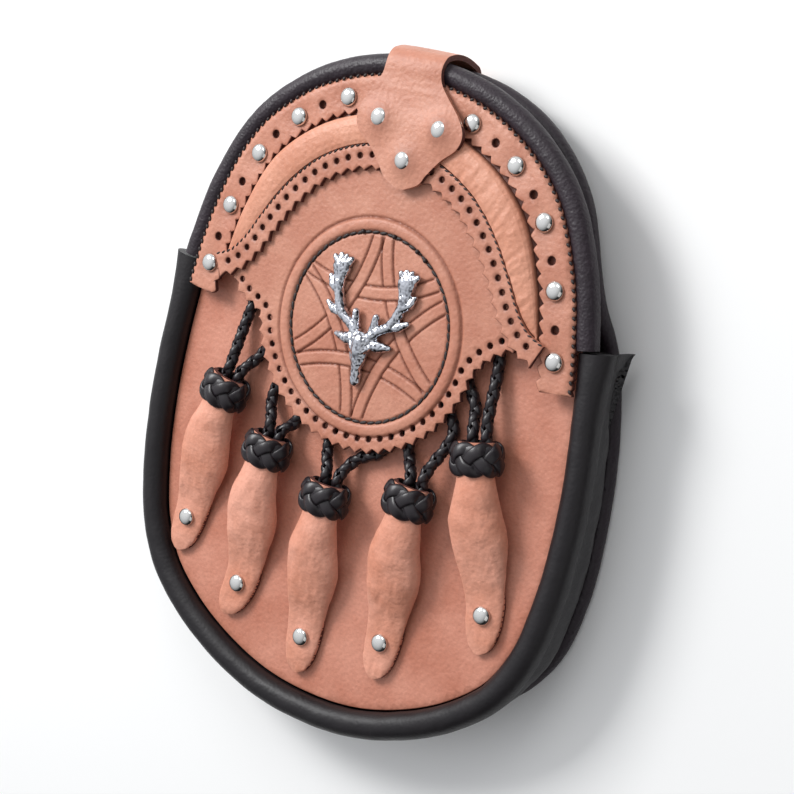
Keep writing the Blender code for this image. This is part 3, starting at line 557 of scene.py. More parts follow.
def wall_place(u, v):
    """The wrapped rim for the first half of v, then down the outside of the wall and up its inside."""
    x, y, inset = at(u, wall_ring).T
    out_x, out_y = at(u, wall_normals).T
    from_end = np.minimum(u, 1 - u) * wall_length
    ear = np.clip(1 - from_end / EAR_LENGTH, 0, 1) ** 2
    over_roll = 2 * RIM_RADIUS - BACK_ROLL_RADIUS - inset
    foot = over_roll + (2 * RIM_RADIUS - GUSSET_LEATHER - over_roll) * ear
    foot_level = back_level(y) + BACK_ROLL_RADIUS + GAP
    turn = np.radians(-60 - np.clip(v / RIM_END, 0, 1) * 330)
    rim_out = RIM_RADIUS + RIM_RADIUS * np.cos(turn)
    rim_level = -RIM_DEPTH + RIM_RADIUS * np.sin(turn)
    down = np.clip((v - RIM_END) / (OUTSIDE_END - RIM_END), 0, 1)
    across = np.clip((v - OUTSIDE_END) / (FOOT_END - OUTSIDE_END), 0, 1)
    back = np.clip((v - FOOT_END) / (1 - FOOT_END), 0, 1)
    start = (RIM_RADIUS * (1 + math.cos(math.radians(-30))), -RIM_DEPTH - RIM_RADIUS * 0.5)
    end = (RIM_RADIUS * 1.5, -RIM_DEPTH - RIM_RADIUS * math.sin(math.radians(60)))
    outer_out = start[0] + (foot + GUSSET_LEATHER / 2 - start[0]) * down
    outer_level = start[1] + (foot_level - start[1]) * down
    inner_out = foot - GUSSET_LEATHER / 2 + (end[0] - foot + GUSSET_LEATHER / 2) * back
    inner_level = foot_level + (end[1] - foot_level) * back
    beside_level = np.where(v < 0.76, outer_level, inner_level)
    folds = cloudy(x, y, 0.0, 14 * MM, 3.0) + 0.6 * cloudy(x, y, beside_level, 5 * MM)
    belly = (1.3 + 0.8 * folds) * MM * (1 - ear)
    outer_out = outer_out + belly * np.sin(math.pi * down)
    inner_out = inner_out + belly * np.sin(math.pi * back)
    parts = [v <= RIM_END, v <= OUTSIDE_END, v <= FOOT_END]
    sideways = np.select(parts, [rim_out, outer_out, foot + GUSSET_LEATHER * (0.5 - across)], inner_out)
    level = np.select(parts, [rim_level, outer_level, foot_level], inner_level)
    lumps = 0.12 * MM * (cloudy(x + sideways, y, level, 6 * MM) - 1) * (v < RIM_END)
    sideways = sideways + lumps * np.cos(turn)
    level = level + lumps * np.sin(turn)
    hem = HEM_HEIGHT * (from_end < HEM_WIDTH) * ((v > RIM_END) & (v < HEM_END))
    sideways = (sideways + hem) * (1 + EAR_FLARE * ear)
    return np.stack([x + out_x * sideways, y + out_y * sideways, level], axis=1)


wall = sheet(bmesh.new(), 520, 64, wall_place)
piece("side_wall", wall, [black_leather_painted_shade], ["gusset"])


def back_relief(x, y):
    """The back leather bends forward at the mouth and is slightly padded."""
    return back_level(y) + BACK_DEPTH + 0.25 * MM * cloudy(x, y, 0.0, 26 * MM), 0 * x


back_edge = offset(back_roll_line(front_outline(360)), -BACK_ROLL_RADIUS - GAP, closed=True)
back_under = -BACK_DEPTH - PANEL_LEATHER / 2
back = cut_leather(back_edge, [], back_under, PANEL_LEATHER, 2.8 * MM, back_relief)
piece("back_leather", back, [black_leather_painted_shade, black_leather_painted_shade], ["back_panel"])

# Stitches
# Seams are sewn in waxed thread, which shows as short dark stitches sunk a little into the leather. Each is a
# small rounded bar, and those of one seam are one mesh.


def waxed_thread(name, colour):
    """Waxed linen thread: dull with a faint shine, and too thin for its twist to show."""
    made, tree, shader = new_finish(name, 0.55)
    where = add(tree, "TexCoord", {}).outputs["Object"]
    twist = add(tree, "TexNoise", {"Vector": where, "Scale": 1 / (0.6 * MM)})
    tone = add(tree, "Mix", {0: twist.outputs[0], 6: linear(colour), 7: linear("2E1D1B")}, data_type="RGBA")
    tree.links.new(tone.outputs[2], shader.inputs["Base Color"])
    return made


dark_thread = waxed_thread("waxed_thread", "0E090A")


def stitches(line, level, pitch, length, radius, slant=0.0):
    """A row of slanted stitches along a line in plan, at one level or at a level for each of its points."""
    walked = walk(line)
    count = max(2, round(walked[-1] / pitch))
    levels = np.broadcast_to(level, len(line))
    bm = bmesh.new()
    for k in range(count):
        stop = walked[-1] * (k + 0.5) / count
        x, y, z = (np.interp(stop, walked, column) for column in (line[:, 0], line[:, 1], levels))
        ahead_x, ahead_y = (np.interp(stop + length, walked, line[:, i]) - (x, y)[i] for i in (0, 1))
        if not (ahead_x or ahead_y):
            continue
        turn = math.atan2(ahead_y, ahead_x) + slant + 0.12 * math.sin(k * 2.4)
        place = (
            Matrix.Translation((x, y, z))
            @ Matrix.Rotation(turn, 4, "Z")
            @ Matrix.Diagonal((length / 2, radius, radius * 0.7, 1))
        )
        bmesh.ops.create_uvsphere(bm, u_segments=8, v_segments=6, radius=1.0, matrix=place)
    return bm


def seam(name, slot, *row, **how):
    """A row of stitches as a piece of its own, which stands for no CAD node."""
    piece(name, stitches(*row, **how), [dark_thread], [])


back_seam = offset(back_edge, -4.0 * MM, closed=True)
back_seam_level = back_level(back_seam[:, 1]) - PANEL_LEATHER / 2 - 0.1 * MM
seam("back_seam", "black_leather", back_seam, back_seam_level, 5.0 * MM, 3.6 * MM, 0.4 * MM)

# Belt loops
# Two straps of the same black leather are sewn to the upper back at both ends. The belt passes under their
# raised middles.
LOOP_WIDTH = 16.0 * MM
LOOP_LEATHER = 1.6 * MM
LOOP_APART = 62.0 * MM
LOOP_LOW = 30.0 * MM
LOOP_LENGTH = 42.0 * MM
LOOP_PAD = 7.0 * MM
LOOP_DROP = 5.0 * MM
for loop_name, loop_side in (("belt_loop_left", -1), ("belt_loop_right", 1)):
    loop_middle = loop_side * LOOP_APART / 2
    loop_top = -MOUTH_DEPTH - PANEL_LEATHER / 2 - GAP

    def loop_place(u, v):
        """Round the strap's section: its upper side for the first half of v, its lower for the second."""
        along = u * LOOP_LENGTH
        rise = np.clip((np.minimum(along, LOOP_LENGTH - along) - LOOP_PAD) / LOOP_DROP, 0, 1)
        drop = LOOP_DROP * rise * rise * (3 - 2 * rise)
        corner = np.array([(-1, 0), (1, 0), (1, -1), (-1, -1), (-1, 0)], float)
        stops = np.array([0, 0.46, 0.5, 0.96, 1.0])
        sideways = np.interp(v, stops, corner[:, 0]) * LOOP_WIDTH / 2
        level = np.interp(v, stops, corner[:, 1]) * LOOP_LEATHER
        return np.stack([loop_middle + sideways, LOOP_LOW + along, loop_top - drop + level], axis=1)

    strap = sheet(bmesh.new(), 60, 50, loop_place)
    piece(loop_name + "_strap", strap, [black_leather_painted_shade], [loop_name])
    half = LOOP_WIDTH / 2 - 2 * MM
    for end_name, end_y in (("low", LOOP_PAD / 2), ("high", LOOP_LENGTH - LOOP_PAD / 2)):
        row = evenly(np.array([(loop_middle + side * half, LOOP_LOW + end_y) for side in (-1, 1)]), 20)
        row_name = f"{loop_name}_{end_name}_stitches"
        seam(row_name, "black_leather", row, loop_top - LOOP_LEATHER, 2.6 * MM, 1.9 * MM, 0.35 * MM)

# Padded crescent
# A crescent of tan leather over a soft filling, sewn down between the outer band and the pinked border. The
# seams pull it into fine wrinkles, most on the right.
BAND_WIDTH = 12.0 * MM
BAND_DROP = 3.0 * MM
PAD_CROWN = 2.5 * MM
LEDGE = 6.0 * MM
BORDER_WIDTH = 7.0 * MM
RIVET_RADIUS = 3.3 * MM
RIVET_END = 9.2 * MM
RIVET_CLEAR = 0.6 * MM
RIVET_PLACES = 9
TAB_HALF_WIDTH = 21.0 * MM
ARCH_CLEAR = 2.0 * MM
ARCH_TOP = 57.8 * MM
ARCH = (
    # shares of the border's reach to each side, and of its height
    (0.0, 1.0),
    (0.22, 0.965),
    (0.44, 0.84),
    (0.60, 0.66),
    (0.725, 0.45),
    (0.81, 0.29),
    (0.90, 0.18),
    (1.0, 0.127),
)


def band_places():
    """Where rivets and punched holes take turns along the outer band, from each end to beside the tab."""
    middle = offset(upper_outline(-BAND_DROP, 720), -BAND_WIDTH / 2)
    walked = walk(middle)
    beside_tab = np.interp(-TAB_HALF_WIDTH - RIVET_CLEAR - RIVET_RADIUS, middle[:, 0], walked)
    places = []
    for k, stop in enumerate(np.linspace(RIVET_END, beside_tab, RIVET_PLACES)):
        for side_stop in (stop, walked[-1] - stop):
            places.append(
                (k, np.interp(side_stop, walked, middle[:, 0]), np.interp(side_stop, walked, middle[:, 1]))
            )
    return places


BAND_PLACES = band_places()
ARCH_REACH = max(x for _, x, _ in BAND_PLACES) - RIVET_RADIUS - ARCH_CLEAR


def arch_line(count):
    """The middle line of the pinked border, from left to right."""
    return smooth(mirrored([(side * ARCH_REACH, height * ARCH_TOP) for side, height in ARCH]), count)


def crescent_stations(count=241):
    """From left to right: the outer edge, the way in, the widths of band and pad there, and the ledge."""
    outer = offset(upper_outline(ARCH[-1][1] * ARCH_TOP + BORDER_WIDTH / 2, count), -GAP)
    inner = evenly(offset(arch_line(240), BORDER_WIDTH / 2 + GAP), count)
    way = inner - outer[:, :2]
    reach = np.linalg.norm(way, axis=1)
    way /= reach[:, None]
    slant = -np.sum(way * normals(outer), axis=1)
    under_band = BAND_WIDTH / slant
    reach = np.maximum(reach, under_band + 2 * GAP)
    from_end = np.minimum(np.arange(count), count - 1 - np.arange(count)) / (count / 8)
    return np.column_stack([outer[:, :2], way, under_band, reach - under_band, np.minimum(1, from_end)])


CRESCENT = crescent_stations()
YOKE_LEDGE = -TAN_LEATHER - GAP
YOKE_UNDER = PANEL_TOP + GAP
PUCKERS = 0.50 * MM
# Where the way round the crescent's section leaves the band, the pad, its wall, the ledge and its edge
BAND_END, PAD_END, WALL_END, LEDGE_END, EDGE_END = 0.08, 0.72, 0.74, 0.80, 0.83
PAD_SWELL = (
    # share of the way over the pad, from the band to the border, and the height there as a share of the crown
    (0.0, 0.0),
    (0.05, 0.55),
    (0.16, 0.9),
    (0.35, 1.1),
    (0.6, 1.15),
    (0.85, 1.06),
    (0.97, 0.9),
    (1.0, 0.84),
)


def crescent_place(u, v):
    """Under the band for the first part of v, then over the pad, the inner ledge, and back underneath."""
    x, y, way_x, way_y, band, pad, ledge = at(u, CRESCENT).T
    over = np.clip((v - BAND_END) / (PAD_END - BAND_END), 0, 1)
    crown = PAD_CROWN * np.minimum(1, pad / BAND_WIDTH)
    along = u * walk(CRESCENT)[-1]
    right = 0.35 + 0.65 * np.clip(x / (40 * MM), 0, 1)
    near_seam = 0.35 + 0.65 * over**1.5
    puckers = cloudy(along, over * 4 * MM, 0.0, 2.4 * MM)
    puckers += 0.8 * cloudy(along, over * 6 * MM, 7 * MM, 5 * MM)
    swell = np.interp(over, *np.transpose(PAD_SWELL))
    face = crown * swell + PUCKERS * puckers * right * near_seam * np.minimum(1, pad / BAND_WIDTH)
    lift = YOKE_LEDGE + (face - YOKE_LEDGE) * np.clip(over / 0.02, 0, 1)
    inside = band + pad + GAP + LEDGE * ledge
    stops = (0.0, BAND_END, PAD_END, WALL_END, LEDGE_END, EDGE_END, 0.97, 1.0)
    level_stops = (YOKE_LEDGE, YOKE_LEDGE, 0.0, YOKE_LEDGE, YOKE_LEDGE, YOKE_UNDER, YOKE_UNDER, YOKE_LEDGE)
    level = np.interp(v, stops, level_stops)
    level = np.where((v >= BAND_END) & (v <= PAD_END), lift, level)
    along_ledge = (v - WALL_END) / (LEDGE_END - WALL_END)
    distance = np.select(
        [v <= BAND_END, v <= PAD_END, v <= WALL_END, v <= LEDGE_END, v <= EDGE_END],
        [
            band * v / BAND_END,
            band + pad * over,
            band + pad,
            band + pad + (inside - band - pad) * along_ledge,
            inside,
        ],
        inside * (1 - np.clip((v - EDGE_END) / 0.14, 0, 1)),
    )
    return np.stack([x + way_x * distance, y + way_y * distance, level], axis=1)


tan_pad = tanned_cowhide("tanned_cowhide_pad", "C38267", "D2957B")
crescent_shape = sheet(bmesh.new(), 640, 72, crescent_place)
# The ledge and underside, seen through the border's holes and teeth, are painted dark as shade
tooling_and_painted_shade = crescent_shape.verts.layers.float.new("tooling_and_painted_shade")
for vert in crescent_shape.verts:
    vert[tooling_and_painted_shade] = 0.95 * (vert.co.z < YOKE_LEDGE / 2)
crescent = piece("padded_crescent", crescent_shape, [tan_pad], ["yoke"])

# Outer band
# A strip of the same cowhide along the upper edge, pinked on its inner side. Rivets and punched holes take
# turns along it, and it is sewn on beside the roll, which pulls its edge into small notches.
BAND_PITCH = 4.6 * MM
TOOTH_DEPTH = 1.7 * MM
TOOTH_STEPS = 8
BIG_HOLE = 2.9 * MM
STITCH_PITCH = 2.9 * MM
EDGE_TUCK = 1.0 * MM


def toothed(line, pitch, depth, peak):
    """A pinked edge: tips on the line and roots beside it, with each tip at a share peak of its tooth."""
    teeth = max(2, round(walk(line)[-1] / pitch))
    edge = evenly(line, teeth * TOOTH_STEPS + 1)
    phase = np.arange(len(edge)) / TOOTH_STEPS % 1
    tip = np.where(phase < peak, phase / peak, (1 - phase) / (1 - peak))
    return offset(edge, -depth * (1 - tip**0.8))


def dished(x, y, rivets, holes):
    """Leather drawn down round its rivets, with painted shade in those dips and round its holes."""
    drawn = np.zeros_like(x)
    painted_shade_rings = np.zeros_like(x)
    for spot in rivets:
        away = np.hypot(x - spot[0], y - spot[1])
        drawn -= 0.75 * MM * np.exp(-((away / (5.0 * MM)) ** 2))
        painted_shade_rings += 0.22 * np.exp(-((away / (4.4 * MM)) ** 4))
    for spot in holes:
        away = np.hypot(x - spot[0], y - spot[1])
        painted_shade_rings += 0.45 * np.exp(-((away / (1.7 * MM)) ** 4))
    return drawn, np.clip(painted_shade_rings, 0, 0.8)


band_rivets = [(x, y) for k, x, y in BAND_PLACES if k % 2 == 0]
band_holes = [(x, y, BIG_HOLE) for k, x, y in BAND_PLACES if k % 2]


def band_relief(x, y):
    """The band dips at its rivets and turns down at the edge that is sewn to the roll."""
    drawn, painted_shade_rings = dished(x, y, band_rivets, band_holes)
    tucked = np.clip(1 - beside(x, y, band_outer) / (1.7 * MM), 0, 1) ** 1.5
    return drawn - EDGE_TUCK * tucked + 0.18 * MM * (cloudy(x, y, 0.0, 9 * MM) - 1), painted_shade_rings


band_line = upper_outline(-BAND_DROP, 900)
stitch_count = round(walk(band_line)[-1] / STITCH_PITCH)
notches = 0.5 - 0.5 * np.cos(2 * math.pi * stitch_count * walk(band_line) / walk(band_line)[-1])
band_outer = offset(band_line, 1.0 * MM - 0.6 * MM * notches**2)
band_inner = toothed(offset(upper_outline(-BAND_DROP, 480), -BAND_WIDTH)[::-1], BAND_PITCH, TOOTH_DEPTH, 0.7)
band_outline = np.vstack([band_outer[:, :2], band_inner[:, :2]])
outer_band = cut_leather(band_outline, band_holes, -TAN_LEATHER, TAN_LEATHER, 1.1 * MM, band_relief)
piece("riveted_band", outer_band, [tan_band, cut_edge], ["outer_band"])
edge_seam = offset(band_line, 0.45 * MM)
seam("edge_stitches", "tan_leather", edge_seam, -0.6 * MM, STITCH_PITCH, 1.7 * MM, 0.55 * MM, slant=0.6)

# Apron and medallion
# One leather hangs under the border. Its lower edge is pinked and punched, and its round medallion is cased
# wet and tooled: a raised ring, a sewn circle, and inside it six interlaced curved straps.
APRON_RADIUS = 46.5 * MM
APRON_CENTRE = 3.0 * MM
APRON_PITCH = 4.6 * MM
APRON_ASIDE = -1.2 * MM
APRON_TRIM = 2.2 * MM
APRON_HOLE_INSET = 5.6 * MM
APRON_STOP = 6.0 * MM
SHOULDER_RUN = 4.0 * MM
SHOULDER_LEFT = -1.0 * MM
SHOULDER_RIGHT = 5.0 * MM
SMALL_HOLE = 2.1 * MM
RING_OUTSIDE = 37.2 * MM
SEWN_CIRCLE = 32.2 * MM
STRAP_HALF_WIDTH = 2.3 * MM
STRAPS = (
    # the side that each strap bows away from in degrees, its distance from the middle and its bend in mm
    (96, 11.8, 60),
    (150, 12.3, 66),
    (210, 12.3, 66),
    (270, 12.3, 66),
    (330, 12.3, 66),
    (30, 11.4, 66),
)
THREAD_KNOTS = (
    # places in mm about the medallion's middle
    (-8.7, 31.2),
    (4.0, 32.0),
    (14.0, 29.2),
    (17.6, 27.0),
)


def groove(distance, width):
    """1 in the middle of a tooled line, falling to 0 beside it."""
    return np.exp(-((distance / width) ** 2))


def medallion_relief(x, y):
    """The tooling: how far the face is pressed in or raised and how dark the tool left it, and painted shade
    round the holes.
    """
    reach = np.hypot(x, y)
    inside = np.clip((SEWN_CIRCLE - 0.5 * MM - reach) / MM, 0, 1)
    off_ring = (reach - (RING_OUTSIDE + SEWN_CIRCLE) / 2) / (RING_OUTSIDE - SEWN_CIRCLE) * 2
    ring = np.clip(1 - off_ring**2, 0, 1)
    raised = 0.55 * MM * ring - 0.15 * MM * inside
    raised -= 0.55 * MM * groove(reach - RING_OUTSIDE, 0.55 * MM)
    raised -= 0.75 * MM * groove(reach - SEWN_CIRCLE, 0.7 * MM)
    dark = 0.55 * groove(reach - RING_OUTSIDE, 0.5 * MM) + 0.6 * groove(reach - SEWN_CIRCLE, 0.6 * MM)
    from_middle = []
    for side, nearest, bend in STRAPS:
        turn = math.radians(side)
        far = (nearest + bend) * MM
        from_middle.append(np.hypot(x - far * math.cos(turn), y - far * math.sin(turn)) - bend * MM)
    for k in range(len(STRAPS)):
        beside_strap = np.abs(from_middle[k])
        over = np.abs(from_middle[(k + 1) % len(STRAPS)])
        hidden = np.clip((STRAP_HALF_WIDTH + 0.35 * MM - over) / (0.4 * MM), 0, 1)
        line = groove(beside_strap - STRAP_HALF_WIDTH, 0.38 * MM) * (1 - hidden) * inside
        strap = np.clip((STRAP_HALF_WIDTH - beside_strap) / MM, 0, 1) * inside
        raised += 0.15 * MM * strap - 0.65 * MM * line
        dark = dark + 0.75 * line
    # Painted shade round the punched holes
    painted_shade_rings = np.zeros_like(x)
    for hole_x, hole_y, _ in apron_holes:
        painted_shade_rings += 0.4 * np.exp(-((np.hypot(x - hole_x, y - hole_y) / (1.4 * MM)) ** 4))
    raised -= 0.10 * MM * (1 + cloudy(x, y, 0.0, 12 * MM))
    return raised, np.clip(dark + painted_shade_rings, 0, 0.85)


def apron_arch(sideways):
    """The border's line moved sideways, without its ends, which the apron stops short of."""
    line = offset(arch_line(480), sideways)
    return line[abs(line[:, 0]) <= ARCH_REACH - APRON_STOP]


def apron_edge(inset=0.0):
    """The apron's lower edge from right to left: two shoulders and the round between them."""
    ends = apron_arch(-BORDER_WIDTH / 2 + GAP)
    radius = APRON_RADIUS - inset
    turns = np.radians(np.linspace(-12, -168, 27))
    round_part = [(APRON_ASIDE + radius * math.cos(a), APRON_CENTRE + radius * math.sin(a)) for a in turns]
    rows = [
        (ends[-1][0], ends[-1][1] + inset),
        (ends[-1][0] - SHOULDER_RUN, SHOULDER_RIGHT + inset),
        *round_part,
        (ends[0][0] + SHOULDER_RUN, SHOULDER_LEFT + inset),
        (ends[0][0], ends[0][1] + inset),
    ]
    return smooth(rows, 300)


hole_row = apron_edge(APRON_HOLE_INSET)
hole_spots = evenly(hole_row, round(walk(hole_row)[-1] / APRON_PITCH) + 1)[2:-2]
apron_holes = [(x, y, SMALL_HOLE) for x, y in hole_spots]
apron_outline = np.vstack(
    [
        evenly(apron_arch(BORDER_WIDTH / 2 - 2 * GAP), 120),
        toothed(apron_edge(APRON_TRIM), APRON_PITCH, -TOOTH_DEPTH, 0.5)[1:-1],
    ]
)
apron = cut_leather(
    apron_outline,
    apron_holes,
    -TAN_LEATHER,
    TAN_LEATHER,
    1.2 * MM,
    medallion_relief,
    disc=(RING_OUTSIDE + 1.5 * MM, 0.42 * MM),
)
piece("tooled_apron", apron, [tan_band, cut_edge], ["apron"])
circle_turns = np.linspace(0, 2 * math.pi, 241)
sewn = np.stack([SEWN_CIRCLE * np.cos(circle_turns), SEWN_CIRCLE * np.sin(circle_turns)], axis=1)
circle_stitches = stitches(sewn, -0.35 * MM, 3.1 * MM, 3.3 * MM, 0.6 * MM, slant=0.1)
for knot_x, knot_y in THREAD_KNOTS:
    knot_at = Matrix.Translation(Vector((knot_x, knot_y, 0.0)) * MM)
    bmesh.ops.create_uvsphere(circle_stitches, u_segments=10, v_segments=8, radius=0.85 * MM, matrix=knot_at)
piece("medallion_stitches", circle_stitches, [dark_thread], [])

# Pinked border
# A narrow strip along the crescent's inner edge, with a punched hole in each tooth and one row of fine
# stitches beside the pad.
BORDER_PITCH = 4.9 * MM
BORDER_UNDER = GAP
UNSTAINED = 0.6 * MM
border_line = arch_line(480)
hole_stops = evenly(border_line, round(walk(border_line)[-1] / BORDER_PITCH) + 1)[1:-1]
border_holes = [(x, y, SMALL_HOLE) for x, y in hole_stops]


def border_relief(x, y):
    """The border is slightly uneven, with painted shade round its holes."""
    _, painted_shade_rings = dished(x, y, [], border_holes)
    return 0.15 * MM * (cloudy(x, y, 0.0, 8 * MM) - 1), painted_shade_rings


border_inner = toothed(offset(border_line, -BORDER_WIDTH / 2)[::-1], BORDER_PITCH, -TOOTH_DEPTH, 0.35)
sewn_side = offset(border_line, BORDER_WIDTH / 2)
border_outline = np.vstack([evenly(sewn_side, 300), border_inner])
border = cut_leather(border_outline, border_holes, BORDER_UNDER, TAN_LEATHER, 0.9 * MM, border_relief)
# The sewn side is turned under, so it shows no stained edge and no painted shade along it
cut_faces = [face for face in border.faces if face.material_index]
cut_spots = np.array([tuple(face.calc_center_median()) for face in cut_faces])
for face, distance in zip(cut_faces, beside(cut_spots[:, 0], cut_spots[:, 1], sewn_side)):
    face.material_index = int(distance > UNSTAINED)
tooling_and_painted_shade = border.verts.layers.float["tooling_and_painted_shade"]
border_spots = np.array([tuple(vert.co) for vert in border.verts])
for vert, distance in zip(border.verts, beside(border_spots[:, 0], border_spots[:, 1], sewn_side)):
    vert[tooling_and_painted_shade] *= distance > UNSTAINED
piece("pinked_border", border, [tan_band, cut_edge], ["inner_band"])
border_seam = offset(border_line, BORDER_WIDTH / 2 - 0.15 * MM)
border_level = BORDER_UNDER + TAN_LEATHER - 0.1 * MM
seam("border_stitches", "tan_leather", border_seam, border_level, 2.3 * MM, 1.8 * MM, 0.34 * MM, slant=0.3)

# Stag's head
# A cast head with antlers, chromed, is pinned to the medallion. Tapered strokes are joined into one skin and
# roughened, as the casting shows hair and bark.
STAG_BASE = GAP
STAG_STROKES = (
    # x0, y0, height0, radius0, x1, y1, height1, radius1 in mm, on the right; each is mirrored
    (0.0, -18.6, 0.9, 1.9, 0.0, -13.5, 1.3, 2.0),
    (0.0, -13.5, 1.3, 2.0, 0.0, -8.0, 1.2, 3.3),
    (0.0, -8.0, 1.2, 3.3, 0.0, -4.5, 0.9, 3.6),
    (0.0, -5.5, 0.8, 3.2, 3.0, -3.8, 0.8, 2.2),
    (2.6, -9.2, 2.0, 1.0, 0.9, -14.0, 2.2, 0.7),
    (3.4, -6.4, 2.4, 1.0, 1.0, -8.8, 3.0, 0.8),
    (0.4, -9.0, 3.2, 0.9, 0.2, -15.0, 2.4, 0.8),
    (1.3, -18.4, 1.2, 0.8, 0.7, -19.3, 1.0, 0.7),
    (3.2, -5.4, 0.9, 1.4, 6.2, -5.0, 1.0, 2.3),
    (6.2, -5.0, 1.0, 2.3, 8.6, -4.8, 1.0, 1.7),
    (8.6, -4.8, 1.0, 1.7, 11.2, -4.5, 0.8, 0.9),
    (2.4, -3.0, 0.9, 2.1, 5.6, 0.0, 1.0, 1.8),
    (5.6, 0.0, 1.0, 1.8, 9.8, 2.6, 1.0, 2.0),
    (9.8, 2.6, 1.0, 2.0, 11.9, 6.4, 1.0, 1.9),
    (11.9, 6.4, 1.0, 1.9, 13.2, 10.8, 1.0, 1.8),
    (13.2, 10.8, 1.0, 1.8, 13.6, 15.0, 1.0, 2.6),
    (13.6, 15.0, 1.0, 2.6, 13.4, 18.0, 1.0, 3.6),
    (3.0, -1.8, 0.9, 1.6, 3.8, 1.6, 1.3, 1.4),
    (3.8, 1.6, 1.3, 1.4, 4.2, 4.6, 1.5, 1.3),
    (9.6, 2.4, 1.0, 1.6, 13.4, 3.2, 1.1, 1.5),
    (13.4, 3.2, 1.1, 1.7, 16.4, 5.2, 0.9, 1.0),
    (13.0, 9.4, 1.0, 1.6, 15.8, 11.4, 1.0, 1.5),
    (15.8, 11.4, 1.0, 1.6, 17.4, 14.2, 0.9, 0.9),
    (12.8, 17.4, 1.0, 1.8, 10.2, 21.2, 0.9, 1.1),
    (13.2, 18.6, 1.0, 1.7, 12.4, 21.9, 0.9, 1.0),
    (13.6, 18.6, 1.0, 1.7, 14.6, 22.0, 0.9, 1.0),
    (14.2, 18.0, 1.0, 1.8, 16.9, 20.9, 0.9, 1.1),
)
STAG_GRAIN = 0.26 * MM
STAG_BARK = 0.15 * MM
PALM_FROM = 11.5 * MM
PALM_LEVEL = 2.0 * MM


def chromed_casting():
    """Bright chrome over a zinc casting: a mirror broken into sparks, with painted shade in its hollows."""
    made, tree, shader = new_finish("chromed_casting", 0.16, Metallic=1.0)
    where = add(tree, "TexCoord", {}).outputs["Object"]
    hollow_shade = add(tree, "Attribute", {}, attribute_name="hollow_shade").outputs["Fac"]
    tone = add(tree, "Mix", {0: hollow_shade, 6: linear("CDCFD6"), 7: linear("34333A")}, data_type="RGBA")
    tree.links.new(tone.outputs[2], shader.inputs["Base Color"])
    rough = add(tree, "TexNoise", {"Vector": where, "Scale": 1 / (0.7 * MM), "Detail": 3.0})
    bump = add(tree, "Bump", {"Height": rough.outputs[0], "Strength": 0.35, "Distance": 0.07 * MM})
    tree.links.new(bump.outputs[0], shader.inputs["Normal"])
    return made


def joined_strokes(strokes):
    """Tapered bars with ball ends, melted into one skin."""
    bm = bmesh.new()
    for x0, y0, z0, r0, x1, y1, z1, r1 in strokes:
        for side in (-1, 1) if x0 or x1 else (1,):
            start = Vector((side * x0, y0, z0)) * MM
            end = Vector((side * x1, y1, z1)) * MM
            turn = (end - start).to_track_quat("Z", "Y").to_matrix().to_4x4()
            bmesh.ops.create_cone(
                bm,
                cap_ends=True,
                segments=14,
                radius1=r0 * MM,
                radius2=r1 * MM,
                depth=(end - start).length,
                matrix=Matrix.Translation((start + end) / 2) @ turn,
            )
            for middle, radius in ((start, r0), (end, r1)):
                ball = Matrix.Translation(middle)
                bmesh.ops.create_icosphere(bm, subdivisions=2, radius=radius * MM, matrix=ball)
    rough = bpy.data.meshes.new("strokes")
    bm.to_mesh(rough)
    bm.free()
    loose = bpy.data.objects.new("strokes", rough)
    bpy.context.scene.collection.objects.link(loose)
    skin = loose.modifiers.new("skin", "REMESH")
    skin.mode = "VOXEL"
    skin.voxel_size = STAG_GRAIN
    even = loose.modifiers.new("even", "SMOOTH")
    even.iterations = 3
    made = bpy.data.meshes.new_from_object(loose.evaluated_get(bpy.context.evaluated_depsgraph_get()))
    bpy.data.objects.remove(loose, do_unlink=True)
    joined = bmesh.new()
    joined.from_mesh(made)
    return joined


stag = joined_strokes(STAG_STROKES)
# The palms of the antlers are flat
for vert in stag.verts:
    palm = min(max((vert.co.y - PALM_FROM) / (3 * MM), 0.0), 1.0)
    vert.co.z -= 0.6 * palm * max(vert.co.z - PALM_LEVEL, 0.0)
stag.normal_update()
stag_spots = np.array([tuple(vert.co) for vert in stag.verts])
bark = cloudy(*stag_spots.T, 0.9 * MM) + 0.7 * np.abs(cloudy(*(stag_spots * (1, 0.45, 1)).T, 1.6 * MM, 3.0))
# The bark's hollows get a darker base colour: painted shade
hollow_shades = stag.verts.layers.float.new("hollow_shade")
for vert, height in zip(stag.verts, bark):
    vert.co += vert.normal * (height * STAG_BARK)
    vert[hollow_shades] = min(max((0.05 - height) * 2.0, 0.0), 0.8)
whole = [*stag.verts, *stag.edges, *stag.faces]
bmesh.ops.bisect_plane(stag, geom=whole, plane_co=(0, 0, 0), plane_no=(0, 0, -1), clear_outer=True)
bmesh.ops.holes_fill(stag, edges=[edge for edge in stag.edges if edge.is_boundary], sides=0)
bmesh.ops.translate(stag, verts=stag.verts, vec=(0, 0, STAG_BASE))
piece("chromed_stag", stag, [chromed_casting()], ["stag_head"], sharp=60)

